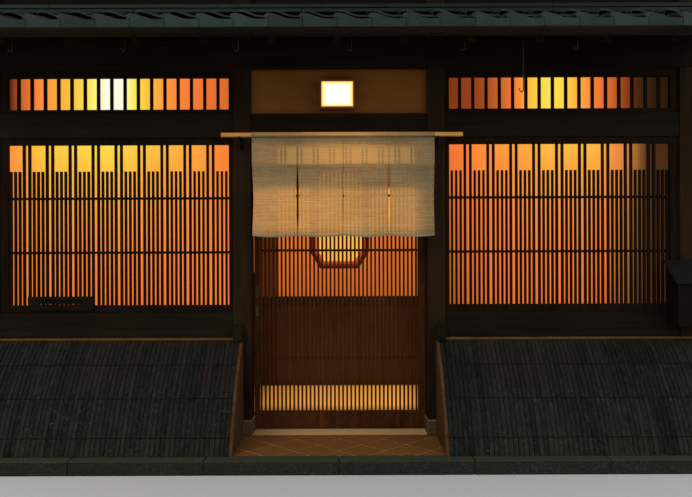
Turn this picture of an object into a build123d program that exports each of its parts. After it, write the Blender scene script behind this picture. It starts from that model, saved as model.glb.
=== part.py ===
from build123d import *
import math
import os

# Townhouse in a row: two storeys, gabled tile roof with eaves along the street.
# Millimetres. X runs along the street, Y into the house, Z up from street level.
# The origin is on the ground in the middle of the plan.

# Plan
side_bay = 1970.0  # centre to centre of the posts beside a window
door_bay = 1515.0  # centre to centre of the door posts
post = 140.0  # side of a squared post
house_depth = 7880.0  # front post faces to rear post faces
party_wall_thickness = 120.0
eave_reach = 700.0  # post faces to the faces of the lowest tiles
roof_side_reach = 35.0  # roofs past the outer faces of the end posts

# Heights above the landing
landing_height = 100.0  # landing above the street
sill_beam_low = 766.0
sill_beam_high = 962.0
window_head = 2326.0
mid_beam_high = 2512.0
top_beam_low = 2864.0
top_beam_high = 3085.0
upper_sill_low = 3760.0
upper_sill_high = 3880.0
upper_head_low = 4560.0
wall_plate_low = 4680.0
wall_plate_high = 4880.0

# Timber and wall thicknesses
beam_recess = 10.0  # beam faces behind the post faces
beam_depth = 110.0
panel_recess = 50.0  # plaster faces behind the post faces
panel_thickness = 60.0
lattice_recess = 22.0
bar_depth = 24.0
rail_depth = 12.0  # cross rails let in behind the bars
frame_depth = 60.0
screen_gap = 1.0  # behind the bars
screen_thickness = 6.0

# Cut-top window lattice
frame_bottom = 56.0
frame_top = 53.0
frame_inner_side = 34.5
frame_outer_side = 67.5
long_bar = 19.0
short_bar = 16.5
bar_step = 34.15
pair_step = 43.0
short_per_group = 3
short_bar_top = 2066.0
window_rails = (1430.0, 1855.0)
rail_height = 19.0

# Transom lattice
transom_bottom_rail = 36.0
transom_top_rail = 67.0
transom_bar = 23.0
transom_step = 104.0

# Sliding lattice door
door_front = 215.0  # face of the leaf behind the post faces
door_thickness = 35.0
door_low = 5.0
door_high = 2345.0
door_left = -690.0
door_right = 720.0
left_stile = 41.0
right_stile = 87.0
top_rail = 47.0
kickboard_height = 142.0
door_bar = 16.0
door_bar_step = 33.0
door_bar_depth = 15.0
door_rail_depth = 12.0
door_thin_rails = (570.0, 1443.0, 1885.0)
door_thin_rail = 19.0
door_lock_rail = (990.0, 1070.0)
door_upper_rail = (2097.0, 2143.0)
door_bar_recess = 4.0
door_travel = 1200.0
pair_every = 4  # each pair of bars that runs on to the top stands in four bars
lock_width = 26.0
lock_thickness = 5.0
lock_height = 90.0
lock_heights = (957.0, 1110.0)

# Door frame and clearances
running_clearance = 6.0
seat_clearance = 0.3
track_width = 12.0
track_overrun = 60.0  # track past the opened leaf
jamb_width = 66.0
jamb_gap = 10.0  # right jamb to the face of the closed leaf
head_thickness = 60.0
head_lip = 20.0  # guides below the head
lip_width = 24.0

# Base
kerb_reach = 670.0
kerb_width = 130.0
threshold_width = 180.0
footing_back = 200.0
base_stone_height = 120.0
base_stone_depth = 195.0
base_stone_margin = 6.0

# Plainer windows at the rear and in the upper storey
plain_bar = 40.0
plain_step = 160.0

# Mail slot panel
mail_x = (-2432.0, -1922.0)
mail_z = (979.0, 1089.0)
mail_thickness = 14.0
mail_slot_x = (-2350.0, -2012.0)
mail_slot_z = (1029.0, 1060.0)

# Curved bamboo fence
fence_reach = 570.0
fence_top = 742.0
fence_bulge = 60.0
fence_skin = 22.0
fence_lip = 12.0  # top of the skin in front of the fence's back
fence_end = 24.0
fence_door_edge = 750.0
strip_height = 24.0
strip_depth = 16.0
end_block_height = 210.0
end_block_low = 655.0
end_block_depth = 46.0
end_block_gap = 4.0

# Pent roof
pent_slope = 0.33
tile_low = 2953.0  # underside of the lowest tiles at their faces
tile_thickness = 112.0  # up to the crests of the tiles
tile_columns = 24
board_thickness = 22.0
rafter_height = 70.0
rafter_width = 55.0
rafter_count = 13
noshi_height = 70.0
noshi_reach = 150.0
gutter_radius = 50.0
gutter_wall = 4.0
gutter_gap = 8.0
gutter_drop = 15.0  # gutter's rim below the lowest tiles
rafter_setback = 20.0
board_setback = 10.0
bracket_every = 3  # rafters from one bracket to the next
bracket_width = 25.0
bracket_thickness = 5.0
bracket_tab = 30.0
bracket_drop = 10.0  # tab below the gutter's rim

# Hooks under the eave
hook_rod = 7.0
hook_radius = 13.0
hook_reach = 600.0
hook_length = 130.0
hook_bends = 4  # straight runs in the half turn of a hook
hook_count = 6
hook_first = -2266.0
hook_step = 787.0
long_hook_x = 1290.0
long_hook_length = 420.0

# Verge boards
verge_thickness = 30.0
pent_verge_drop = 20.0
main_verge_drop = 70.0

# Upper floor and rear door
upper_floor_thickness = 60.0
rear_door_depth = 40.0

# Waved tiles: a slow fall from each crest to the trough, and a steep rise to the next crest
tile_crest = 40.0  # crests above the troughs
trough_start = 0.72  # share of a tile's width from its crest
trough_end = 0.86

# Main roof
main_slope = 0.45
main_reach = 760.0
main_board = 30.0
main_tile = 95.0
main_rafter_height = 90.0
main_rafter_width = 60.0
main_rafter_count = 12
purlin_width = 120.0
purlin_height = 160.0
ridge_gap = 1.0  # each slope's pieces stop this far from the middle
ridge_width = 300.0
ridge_course = 55.0
ridge_courses = 5
ridge_step = 14.0  # each course is narrower than the one below, on either side
ridge_lip = 9.0
ridge_cap_radius = 85.0
ridge_end_thickness = 60.0
ridge_end_margin = 45.0

# Noren and its pole
pole_radius = 18.0
pole_left = -896.0
pole_right = 944.0
pole_height = 2326.0
pole_reach = 120.0
noren_left = -664.0
noren_right = 731.0
noren_low = 1545.0
noren_thickness = 3.0
noren_panels = 4
noren_slit = 8.0
hanger_width = 22.0
hanger_arm = 10.0
hanger_plate_height = 80.0
hanger_plate_thickness = 6.0

# Wall lamp over the door
lamp_x = (-147.5, 125.5)
lamp_z = (2541.0, 2764.0)
lamp_reach = 100.0
lamp_plate_length = 480.0
lamp_plate_thickness = 6.0
lamp_frame = 14.0
lamp_glass_recess = 6.0
lamp_glass_back = 20.0

# Meter box on the right end post
meter_x = (2546.0, 2790.0)
meter_z = (860.0, 1348.0)
meter_reach = 200.0
meter_eave = 1198.0
meter_lid_overhang = 23.0
meter_lid_thickness = 12.0

# Inner wall with a tall eight-sided window
inner_wall_depth = 2100.0
inner_wall_thickness = 90.0
inner_wall_half = 900.0
inner_window_width = 636.0
inner_window_height = 1092.0
inner_window_corner = (112.0, 182.0)  # cut off at each corner, across and up
inner_window_centre = (-18.0, 1789.0)
inner_frame = 80.0
inner_frame_proud = 6.0
inner_screen_depth = 30.0

# Derived places
front = -house_depth / 2
rear = house_depth / 2
landing = landing_height
post_x = (door_bay / 2, door_bay / 2 + side_bay)
wall_end = post_x[1] + post / 2
bay_inner = post_x[0] + post / 2
bay_outer = post_x[1] - post / 2
door_clear = post_x[0] - post / 2
party_inner = wall_end - party_wall_thickness
roof_end = wall_end + roof_side_reach


def block(x, y, z):
    """A squared timber, slab or panel between its limits on each axis."""
    with Locations(((x[0] + x[1]) / 2, (y[0] + y[1]) / 2, (z[0] + z[1]) / 2)):
        Box(x[1] - x[0], y[1] - y[0], z[1] - z[0])


def both_sides(x, y, z):
    """The same block left and right of the door."""
    block((-x[1], -x[0]), y, z)
    block(x, y, z)


def behind(near, far):
    """Limits in Y, given as depths behind the front post faces."""
    return (front + near, front + far)


def above(low, high):
    """Limits in Z, given as heights above the landing."""
    return (landing + low, landing + high)


def save(piece, name):
    piece.part.label = name
    export_step(piece.part, f"parts/{name}.step")


def save_rear(piece, name):
    """Writes the piece turned to the rear of the house."""
    with BuildPart() as turned:
        add(mirror(piece.part, about=Plane.XZ))
    save(turned, name)


def save_both(piece, name):
    """Writes the piece and its like at the rear of the house as one node."""
    with BuildPart() as pair:
        add(piece.part)
        add(mirror(piece.part, about=Plane.XZ))
    save(pair, name)


os.makedirs("parts", exist_ok=True)

# Base and floor
kerb_back = kerb_reach - kerb_width
with BuildPart() as granite_kerb:
    block((-wall_end, wall_end), behind(-kerb_reach, -kerb_back), (0, landing))
save(granite_kerb, "granite_kerb")

with BuildPart() as front_footings:
    both_sides((bay_inner, wall_end), behind(-kerb_back, footing_back), (0, landing))
save(front_footings, "front_footings")

threshold_front = footing_back - threshold_width
with BuildPart() as entrance_landing:
    block((-bay_inner, bay_inner), behind(-kerb_back, threshold_front), (0, landing))
save(entrance_landing, "entrance_landing")

with BuildPart() as threshold_stone:
    block((-bay_inner, bay_inner), behind(threshold_front, footing_back), (0, landing))
save(threshold_stone, "threshold_stone")

with BuildPart() as ground_floor:
    block((-wall_end, wall_end), (front + footing_back, rear), (0, landing))
save(ground_floor, "ground_floor")

left_jamb_x = (door_left - running_clearance - jamb_width, door_left - running_clearance)
track_x = (left_jamb_x[1], door_right + door_travel + track_overrun)
head_x = (left_jamb_x[0], track_x[1])
door_middle = front + door_front + door_thickness / 2
with BuildPart() as door_track:
    block(
        track_x,
        (door_middle - track_width / 2, door_middle + track_width / 2),
        above(0, door_low - seat_clearance),
    )
save(door_track, "door_track")

with BuildPart() as base_stones:
    stone_half = post / 2 + base_stone_margin
    both_sides(
        (post_x[0] - stone_half, post_x[0] + stone_half),
        behind(-base_stone_margin, base_stone_depth - base_stone_margin),
        above(0, base_stone_height),
    )
save(base_stones, "base_stones")

# Posts and beams of the front, repeated at the rear
with BuildPart() as rear_posts:
    for x in post_x:
        both_sides((x - post / 2, x + post / 2), behind(0, post), above(0, top_beam_low))
with BuildPart() as upper_posts:
    for x in post_x:
        both_sides(
            (x - post / 2, x + post / 2), behind(0, post), above(top_beam_high, wall_plate_low)
        )
with BuildPart() as posts:
    both_sides(
        (post_x[0] - post / 2, post_x[0] + post / 2),
        behind(0, post),
        above(base_stone_height, top_beam_low),
    )
    both_sides((bay_outer, wall_end), behind(0, post), above(0, top_beam_low))
    add(upper_posts.part)
    add(mirror(rear_posts.part, about=Plane.XZ))
    add(mirror(upper_posts.part, about=Plane.XZ))
save(posts, "posts")

beam_y = behind(beam_recess, beam_recess + beam_depth)
with BuildPart() as wall_beams:
    both_sides((bay_inner, bay_outer), beam_y, above(sill_beam_low, sill_beam_high))
    both_sides((bay_inner, bay_outer), beam_y, above(window_head, mid_beam_high))
    block((-door_clear, door_clear), beam_y, above(window_head, mid_beam_high))
    both_sides((bay_inner, bay_outer), beam_y, above(upper_sill_low, upper_sill_high))
    both_sides((bay_inner, bay_outer), beam_y, above(upper_head_low, wall_plate_low))
save_both(wall_beams, "wall_beams")

with BuildPart() as long_beams:
    for low, high in ((top_beam_low, top_beam_high), (wall_plate_low, wall_plate_high)):
        block((-wall_end, wall_end), behind(0, post), above(low, high))
save_both(long_beams, "long_beams")

panel_y = behind(panel_recess, panel_recess + panel_thickness)
with BuildPart() as plaster_panels:
    both_sides((bay_inner + base_stone_margin, bay_outer), panel_y, above(0, base_stone_height))
    both_sides((bay_inner, bay_outer), panel_y, above(base_stone_height, sill_beam_low))
    block((-door_clear, door_clear), panel_y, above(mid_beam_high, top_beam_low))
    block((-door_clear, door_clear), panel_y, above(top_beam_high, wall_plate_low))
    both_sides((bay_inner, bay_outer), panel_y, above(top_beam_high, upper_sill_low))
save_both(plaster_panels, "plaster_panels")

# Cut-top lattice windows: groups of short bars between pairs of long ones
group_span = (short_per_group - 1) * bar_step
unit_pitch = group_span + 2 * bar_step + pair_step
lattice_bottom = sill_beam_high + frame_bottom
lattice_top = window_head - frame_top
opening = (bay_inner + frame_inner_side, bay_outer - frame_outer_side)
opening_middle = (opening[0] + opening[1]) / 2
opening_width = opening[1] - opening[0]
units = math.floor((opening_width - group_span - short_bar) / unit_pitch)
first_bar = opening_middle - (units * unit_pitch + group_span) / 2


def short_bars():
    """Centres of the bars that stop short of the frame's top."""
    return [
        first_bar + unit * unit_pitch + bar * bar_step
        for unit in range(units + 1)
        for bar in range(short_per_group)
    ]


def long_bars():
    """Centres of the bars that reach the frame's top, in pairs."""
    after_group = group_span + bar_step
    return [
        first_bar + unit * unit_pitch + after_group + side
        for unit in range(units)
        for side in (0, pair_step)
    ]


def bars(centres, width, low, high, face, depth):
    """Upright bars with their faces in one plane, from one height to another."""
    height = high - low
    with Locations([(x, face + depth / 2, landing + low + height / 2) for x in centres]):
        Box(width, depth, height)


def lattice_frame(inner, outer, low, high, bottom, top, sides):
    """Two stiles and two rails round a lattice, as one frame."""
    with BuildSketch(Plane.XZ.offset(-front - lattice_recess)) as frame:
        with Locations(((inner + outer) / 2, landing + (low + high) / 2)):
            Rectangle(outer - inner, high - low)
        hole = (inner + sides[0], outer - sides[1])
        with Locations(((hole[0] + hole[1]) / 2, landing + (low + bottom + high - top) / 2)):
            Rectangle(hole[1] - hole[0], high - low - bottom - top, mode=Mode.SUBTRACT)
    extrude(frame.sketch, amount=-frame_depth)


bar_face = front + lattice_recess
with BuildPart() as right_window_lattice:
    lattice_frame(
        bay_inner,
        bay_outer,
        sill_beam_high,
        window_head,
        frame_bottom,
        frame_top,
        (frame_inner_side, frame_outer_side),
    )
    bars(short_bars(), short_bar, lattice_bottom, short_bar_top, bar_face, bar_depth)
    bars(long_bars(), long_bar, lattice_bottom, lattice_top, bar_face, bar_depth)
    rail_middle = bar_face + bar_depth + rail_depth / 2
    with Locations([(opening_middle, rail_middle, landing + z) for z in window_rails]):
        Box(opening_width, rail_depth, rail_height)
save(right_window_lattice, "right_window_lattice")

with BuildPart() as left_window_lattice:
    add(mirror(right_window_lattice.part, about=Plane.YZ))
save(left_window_lattice, "left_window_lattice")

screen_front = lattice_recess + bar_depth + rail_depth + screen_gap
screen_y = behind(screen_front, screen_front + screen_thickness)

# Transoms over the windows
transom_low = mid_beam_high + transom_bottom_rail
transom_high = top_beam_low - transom_top_rail
transom_count = math.floor((opening_width - transom_bar) / transom_step)
transom_first = opening_middle - (transom_count - 1) * transom_step / 2
transom_bars = [transom_first + n * transom_step for n in range(transom_count)]
with BuildPart() as right_transom_lattice:
    lattice_frame(
        bay_inner,
        bay_outer,
        mid_beam_high,
        top_beam_low,
        transom_bottom_rail,
        transom_top_rail,
        (frame_inner_side, frame_outer_side),
    )
    bars(transom_bars, transom_bar, transom_low, transom_high, bar_face, bar_depth)
with BuildPart() as transom_lattices:
    add(right_transom_lattice.part)
    add(mirror(right_transom_lattice.part, about=Plane.YZ))
save_both(transom_lattices, "transom_lattices")

with BuildPart() as paper_screens:
    both_sides(opening, screen_y, above(lattice_bottom, lattice_top))
    both_sides(opening, screen_y, above(transom_low, transom_high))
    both_sides(
        opening, screen_y, above(upper_sill_high + frame_bottom, upper_head_low - frame_top)
    )
save_both(paper_screens, "paper_screens")

# Plainer bars at the rear and in the upper storey
plain_count = math.floor((opening_width - plain_bar) / plain_step)
plain_first = opening_middle - (plain_count - 1) * plain_step / 2
plain_bars = [plain_first + n * plain_step for n in range(plain_count)]


def plain_lattice(low, high):
    """A framed window with evenly spaced upright bars."""
    lattice_frame(
        bay_inner,
        bay_outer,
        low,
        high,
        frame_bottom,
        frame_top,
        (frame_inner_side, frame_outer_side),
    )
    bars(plain_bars, plain_bar, low + frame_bottom, high - frame_top, bar_face, bar_depth)


with BuildPart() as ground_window:
    plain_lattice(sill_beam_high, window_head)
with BuildPart() as upper_window:
    plain_lattice(upper_sill_high, upper_head_low)
with BuildPart() as plain_windows:
    add(mirror(ground_window.part, about=Plane.XZ))
    add(mirror(upper_window.part, about=Plane.XZ))
    add(upper_window.part)
with BuildPart() as plain_window_lattices:
    add(plain_windows.part)
    add(mirror(plain_windows.part, about=Plane.YZ))
save(plain_window_lattices, "plain_window_lattices")

# Mail slot panel, set against the bars of the left window
mail_front = front + lattice_recess - mail_thickness
with BuildPart() as mail_panel:
    block(mail_x, (mail_front, mail_front + mail_thickness), above(*mail_z))
    with Locations(
        (
            (mail_slot_x[0] + mail_slot_x[1]) / 2,
            mail_front + mail_thickness / 2,
            landing + (mail_slot_z[0] + mail_slot_z[1]) / 2,
        )
    ):
        Box(
            mail_slot_x[1] - mail_slot_x[0],
            mail_thickness,
            mail_slot_z[1] - mail_slot_z[0],
            mode=Mode.SUBTRACT,
        )
save(mail_panel, "mail_slot")

# Sliding door
leaf_y = (front + door_front, front + door_front + door_thickness)
with BuildPart() as door_stiles:
    block((door_left, door_left + left_stile), leaf_y, above(door_low, door_high))
    block((door_right - right_stile, door_right), leaf_y, above(door_low, door_high))
save(door_stiles, "door_stiles")

door_inner = (door_left + left_stile, door_right - right_stile)
door_inner_width = door_inner[1] - door_inner[0]
door_inner_middle = (door_inner[0] + door_inner[1]) / 2
with BuildPart() as door_rails:
    block(door_inner, leaf_y, above(door_high - top_rail, door_high))
    block(door_inner, leaf_y, above(door_low, kickboard_height))
save(door_rails, "door_rails")

door_bar_count = math.floor((door_inner_width - door_bar) / door_bar_step) + 1
door_first_bar = door_inner_middle - (door_bar_count - 1) * door_bar_step / 2
door_bars = [door_first_bar + n * door_bar_step for n in range(door_bar_count)]
door_pair_bars = [x for n, x in enumerate(door_bars) if n % pair_every in (1, 2)]
door_other_bars = [x for x in door_bars if x not in door_pair_bars]
door_bar_face = leaf_y[0] + door_bar_recess
door_rail_y = (door_bar_face + door_bar_depth, door_bar_face + door_bar_depth + door_rail_depth)
half_rail = door_thin_rail / 2
with BuildPart() as door_lattice:
    open_top = door_high - top_rail
    for centres, top in ((door_other_bars, door_upper_rail[1]), (door_pair_bars, open_top)):
        bars(centres, door_bar, kickboard_height, top, door_bar_face, door_bar_depth)
    for low, high in (door_lock_rail, door_upper_rail):
        block(door_inner, door_rail_y, above(low, high))
    for middle in door_thin_rails:
        block(door_inner, door_rail_y, above(middle - half_rail, middle + half_rail))
save(door_lattice, "door_lattice")

with BuildPart() as door_locks:
    with Locations(
        [
            (door_left + left_stile / 2, leaf_y[0] - lock_thickness / 2, landing + z)
            for z in lock_heights
        ]
    ):
        Box(lock_width, lock_thickness, lock_height)
save(door_locks, "door_locks")

head_low = door_high + running_clearance
head_half = door_thickness / 2 + running_clearance
head_reach = head_half + lip_width
with BuildPart() as door_head:
    block(
        head_x,
        (door_middle - head_reach, door_middle + head_reach),
        above(head_low, head_low + head_thickness),
    )
save(door_head, "door_head")

with BuildPart() as door_guides:
    for near, far in ((-head_reach, -head_half), (head_half, head_reach)):
        block(head_x, (door_middle + near, door_middle + far), above(head_low - head_lip, head_low))
save(door_guides, "door_guides")

right_jamb_x = (door_clear, door_clear + jamb_width)
jamb_top = head_low - head_lip
with BuildPart() as door_jambs:
    block(
        left_jamb_x,
        behind(base_stone_depth - base_stone_margin, door_front + door_thickness),
        above(0, base_stone_height),
    )
    block(left_jamb_x, behind(post, door_front + door_thickness), above(base_stone_height, jamb_top))
    block(
        right_jamb_x,
        behind(post, door_front - jamb_gap),
        above(base_stone_height, jamb_top),
    )
save(door_jambs, "door_jambs")

# Curved bamboo fence: its skin bulges towards the street
fence_x = (fence_door_edge, wall_end)
fence_back = front - base_stone_margin - seat_clearance


def fence_curve(reach, top):
    """An arc in the YZ plane from the landing's level up to the top, bulging outwards."""
    foot = (front - reach, landing)
    chord = math.hypot(top[0] - foot[0], top[1] - foot[1])
    out = (-(top[1] - foot[1]) / chord, (top[0] - foot[0]) / chord)
    crown = (
        (top[0] + foot[0]) / 2 + out[0] * fence_bulge,
        (top[1] + foot[1]) / 2 + out[1] * fence_bulge,
    )
    return foot, crown, top


outer_curve = fence_curve(fence_reach, (fence_back - fence_lip, landing + fence_top))
inner_curve = fence_curve(
    fence_reach - fence_skin, (fence_back, landing + fence_top - fence_skin / 2)
)
with BuildPart() as right_inuyarai:
    with BuildSketch(Plane.YZ.offset(fence_x[0] + fence_end)):
        with BuildLine():
            outer = ThreePointArc(*outer_curve)
            inner = ThreePointArc(*inner_curve)
            Line(outer @ 0, inner @ 0)
            Line(outer @ 1, inner @ 1)
        make_face()
    extrude(amount=fence_x[1] - fence_x[0] - 2 * fence_end)
save(right_inuyarai, "right_inuyarai")
with BuildPart() as left_inuyarai:
    add(mirror(right_inuyarai.part, about=Plane.YZ))
save(left_inuyarai, "left_inuyarai")

with BuildPart() as right_fence_ends:
    for x in (fence_x[0], fence_x[1] - fence_end):
        with BuildSketch(Plane.YZ.offset(x)):
            with BuildLine():
                curve = ThreePointArc(*outer_curve)
                Line(curve @ 1, (fence_back, (curve @ 1).Y))
                Line((fence_back, (curve @ 1).Y), (fence_back, landing))
                Line((fence_back, landing), curve @ 0)
            make_face()
        extrude(amount=fence_end)
with BuildPart() as fence_ends:
    add(right_fence_ends.part)
    add(mirror(right_fence_ends.part, about=Plane.YZ))
save(fence_ends, "inuyarai_ends")

with BuildPart() as fence_strips:
    both_sides(
        (bay_inner, wall_end),
        (fence_back - strip_depth, front),
        above(fence_top, fence_top + strip_height),
    )
save(fence_strips, "bamboo_strips")

with BuildPart() as fence_blocks:
    both_sides(
        (fence_door_edge, bay_inner - end_block_gap),
        (fence_back - end_block_depth, front),
        above(fence_top, end_block_low + end_block_height),
    )
save(fence_blocks, "inuyarai_end_blocks")

# Pent roof: rafters on the top beam, boards, tiles, and flat tiles along the wall
def pent_height(base, reach):
    """Height of a sloping plane that is at base over the tile faces."""
    return landing + base + (eave_reach - reach) * pent_slope


def sloped_slab(low, thickness, near, far, ends):
    """A slab on the pent roof's slope, between two distances from the wall."""
    with BuildSketch(Plane.YZ.offset(ends[0])) as section:
        with BuildLine():
            Polyline(
                (front - far, pent_height(low, far)),
                (front - near, pent_height(low, near)),
                (front - near, pent_height(low, near) + thickness),
                (front - far, pent_height(low, far) + thickness),
                close=True,
            )
        make_face()
    extrude(section.sketch, amount=ends[1] - ends[0])


def waved_tiles(eave, low, thickness, run, slope):
    """Columns of waved tiles from the eave up a slope, as one slab."""
    column = 2 * roof_end / tile_columns
    trough = low + thickness - tile_crest
    crest = low + thickness
    wave = []
    for n in range(tile_columns):
        left = -roof_end + n * column
        wave.append((left, crest))
        wave.append((left + trough_start * column, trough))
        wave.append((left + trough_end * column, trough))
    with BuildSketch(Plane.XZ.offset(-eave)) as section:
        with BuildLine():
            Polyline((-roof_end, low), *wave, (roof_end, crest), (roof_end, low), close=True)
        make_face()
    extrude(section.sketch, amount=math.hypot(run, run * slope), dir=Vector(0, 1, slope).normalized())


board_low = tile_low - board_thickness
rafter_low = board_low - rafter_height
rafter_reach = eave_reach - rafter_setback
rafter_spacing = (2 * wall_end - rafter_width) / (rafter_count - 1)
with BuildPart() as pent_rafters:
    for n in range(rafter_count):
        x = -wall_end + n * rafter_spacing
        sloped_slab(rafter_low, rafter_height, 0, rafter_reach, (x, x + rafter_width))

with BuildPart() as pent_boards:
    sloped_slab(board_low, board_thickness, 0, eave_reach - board_setback, (-roof_end, roof_end))

with BuildPart() as pent_verges:
    for x in (-wall_end - verge_thickness, wall_end):
        sloped_slab(
            rafter_low - pent_verge_drop,
            rafter_height + pent_verge_drop,
            0,
            eave_reach - board_setback,
            (x, x + verge_thickness),
        )

with BuildPart() as pent_tiles:
    waved_tiles(front - eave_reach, landing + tile_low, tile_thickness, eave_reach, pent_slope)
save_both(pent_tiles, "pent_tiles")

noshi_low = tile_low + tile_thickness
with BuildPart() as pent_ridge:
    with BuildSketch(Plane.YZ.offset(-roof_end)):
        with BuildLine():
            foot = pent_height(noshi_low, noshi_reach)
            Polyline(
                (front - noshi_reach, foot),
                (front, pent_height(noshi_low, 0)),
                (front, pent_height(noshi_low, 0) + noshi_height),
                (front - noshi_reach, foot + noshi_height),
                close=True,
            )
        make_face()
    extrude(amount=2 * roof_end)
save_both(pent_ridge, "pent_ridge")

gutter_middle = (
    front - eave_reach - gutter_gap - gutter_radius,
    landing + tile_low - gutter_drop,
)
with BuildPart() as gutter:
    with BuildSketch(Plane.YZ.offset(-roof_end)):
        with BuildLine():
            y, z = gutter_middle
            inside = gutter_radius - gutter_wall
            ThreePointArc((y - gutter_radius, z), (y, z - gutter_radius), (y + gutter_radius, z))
            Line((y + gutter_radius, z), (y + inside, z))
            ThreePointArc((y + inside, z), (y, z - inside), (y - inside, z))
            Line((y - inside, z), (y - gutter_radius, z))
        make_face()
    extrude(amount=2 * roof_end)
save_both(gutter, "gutters")

# Gutter brackets: a half ring under the gutter, with a tab on a rafter's end
with BuildPart() as gutter_brackets:
    y, z = gutter_middle
    tab_back = front - rafter_reach
    ring = gutter_radius + seat_clearance
    outside = ring + bracket_thickness
    for n in range(0, rafter_count, bracket_every):
        centre = -wall_end + n * rafter_spacing + rafter_width / 2
        with BuildSketch(Plane.YZ.offset(centre - bracket_width / 2)) as strap:
            with Locations((y, z)):
                RegularPolygon(outside, 12, major_radius=False)
            with Locations(((tab_back + y) / 2, z - bracket_drop - bracket_tab / 2)):
                Rectangle(tab_back - y, bracket_tab)
            with Locations((y, z)):
                RegularPolygon(ring, 12, major_radius=False, mode=Mode.SUBTRACT)
            with Locations((y, z + outside)):
                Rectangle(3 * outside, 2 * outside, mode=Mode.SUBTRACT)
        extrude(amount=bracket_width)
save_both(gutter_brackets, "gutter_brackets")

# Hooks under the eave: rods from the boards, bent up at their ends
def hook(x, length):
    """A hook whose rod hangs from the underside of the pent roof's boards."""
    underside = pent_height(board_low, hook_reach + hook_rod / 2)
    top = Vector(x, front - hook_reach, underside - seat_clearance)
    bend = top - Vector(0, 0, length - hook_radius)
    far = bend - Vector(2 * hook_radius, 0, 0)
    turn = [math.pi * n / hook_bends for n in range(1, hook_bends)]
    around = [bend - hook_radius * Vector(1 - math.cos(a), 0, math.sin(a)) for a in turn]
    with BuildLine() as path:
        Polyline(top, bend, *around, far, far + Vector(0, 0, hook_radius))
    with BuildSketch(Plane(origin=top, x_dir=(1, 0, 0), z_dir=(0, 0, -1))) as section:
        RegularPolygon(hook_rod / 2, 6)
    sweep(section.sketch, path=path.line, transition=Transition.RIGHT)


with BuildPart() as eave_hooks:
    for n in range(hook_count):
        hook(hook_first + n * hook_step, hook_length)
    hook(long_hook_x, long_hook_length)
save(eave_hooks, "eave_hooks")

# Upper floor
with BuildPart() as upper_floor:
    block(
        (-party_inner, party_inner),
        (front + post, rear - post),
        above(top_beam_high - upper_floor_thickness, top_beam_high),
    )
save(upper_floor, "upper_floor")

# Plain fixed door at the rear
with BuildPart() as rear_door:
    block(
        (-door_clear, door_clear),
        behind(panel_recess, panel_recess + rear_door_depth),
        above(0, window_head),
    )
save_rear(rear_door, "rear_door")

# Party walls, up to the underside of the rafters

def main_height(base, y):
    """Height of a main roof plane that is at base over the post faces."""
    return landing + base + (rear - abs(y)) * main_slope


with BuildPart() as right_party_wall:
    with BuildSketch(Plane.YZ.offset(party_inner)):
        with BuildLine():
            Polyline(
                (front + post, landing),
                (rear - post, landing),
                (rear - post, main_height(wall_plate_high, rear - post)),
                (0, main_height(wall_plate_high, 0)),
                (front + post, main_height(wall_plate_high, front + post)),
                close=True,
            )
        make_face()
    extrude(amount=party_wall_thickness)
with BuildPart() as party_walls:
    add(right_party_wall.part)
    add(mirror(right_party_wall.part, about=Plane.YZ))
save(party_walls, "party_walls")


# Main roof
def main_slab(low, thickness, ends):
    """A slab on the front slope of the main roof, from the ridge to the eave."""
    eave = front - main_reach
    with BuildSketch(Plane.YZ.offset(ends[0])) as section:
        with BuildLine():
            Polyline(
                (eave, main_height(low, eave)),
                (-ridge_gap, main_height(low, ridge_gap)),
                (-ridge_gap, main_height(low, ridge_gap) + thickness),
                (eave, main_height(low, eave) + thickness),
                close=True,
            )
        make_face()
    extrude(section.sketch, amount=ends[1] - ends[0])


with BuildPart() as main_rafters:
    spacing = (2 * wall_end - main_rafter_width) / (main_rafter_count - 1)
    for n in range(main_rafter_count):
        x = -wall_end + n * spacing
        main_slab(wall_plate_high, main_rafter_height, (x, x + main_rafter_width))
with BuildPart() as rafters:
    add(pent_rafters.part)
    add(main_rafters.part)
save_both(rafters, "rafters")

with BuildPart() as main_verges:
    for x in (-wall_end - verge_thickness, wall_end):
        main_slab(
            wall_plate_high - main_verge_drop,
            main_rafter_height + main_verge_drop,
            (x, x + verge_thickness),
        )
with BuildPart() as verge_boards:
    add(pent_verges.part)
    add(main_verges.part)
save_both(verge_boards, "verge_boards")

with BuildPart() as purlins:
    for y in (-house_depth / 4, 0, house_depth / 4):
        top = main_height(wall_plate_high, abs(y) + purlin_width / 2)
        block(
            (-party_inner, party_inner),
            (y - purlin_width / 2, y + purlin_width / 2),
            (top - purlin_height, top),
        )
save(purlins, "purlins")

main_board_low = wall_plate_high + main_rafter_height
with BuildPart() as main_boards:
    main_slab(main_board_low, main_board, (-roof_end, roof_end))
with BuildPart() as roof_boards:
    add(pent_boards.part)
    add(main_boards.part)
save_both(roof_boards, "roof_boards")

main_tile_low = main_board_low + main_board
main_eave = front - main_reach
with BuildPart() as main_tiles:
    waved_tiles(
        main_eave,
        main_height(main_tile_low, main_eave),
        main_tile,
        -main_eave - ridge_gap,
        main_slope,
    )
save_both(main_tiles, "main_tiles")

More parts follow.
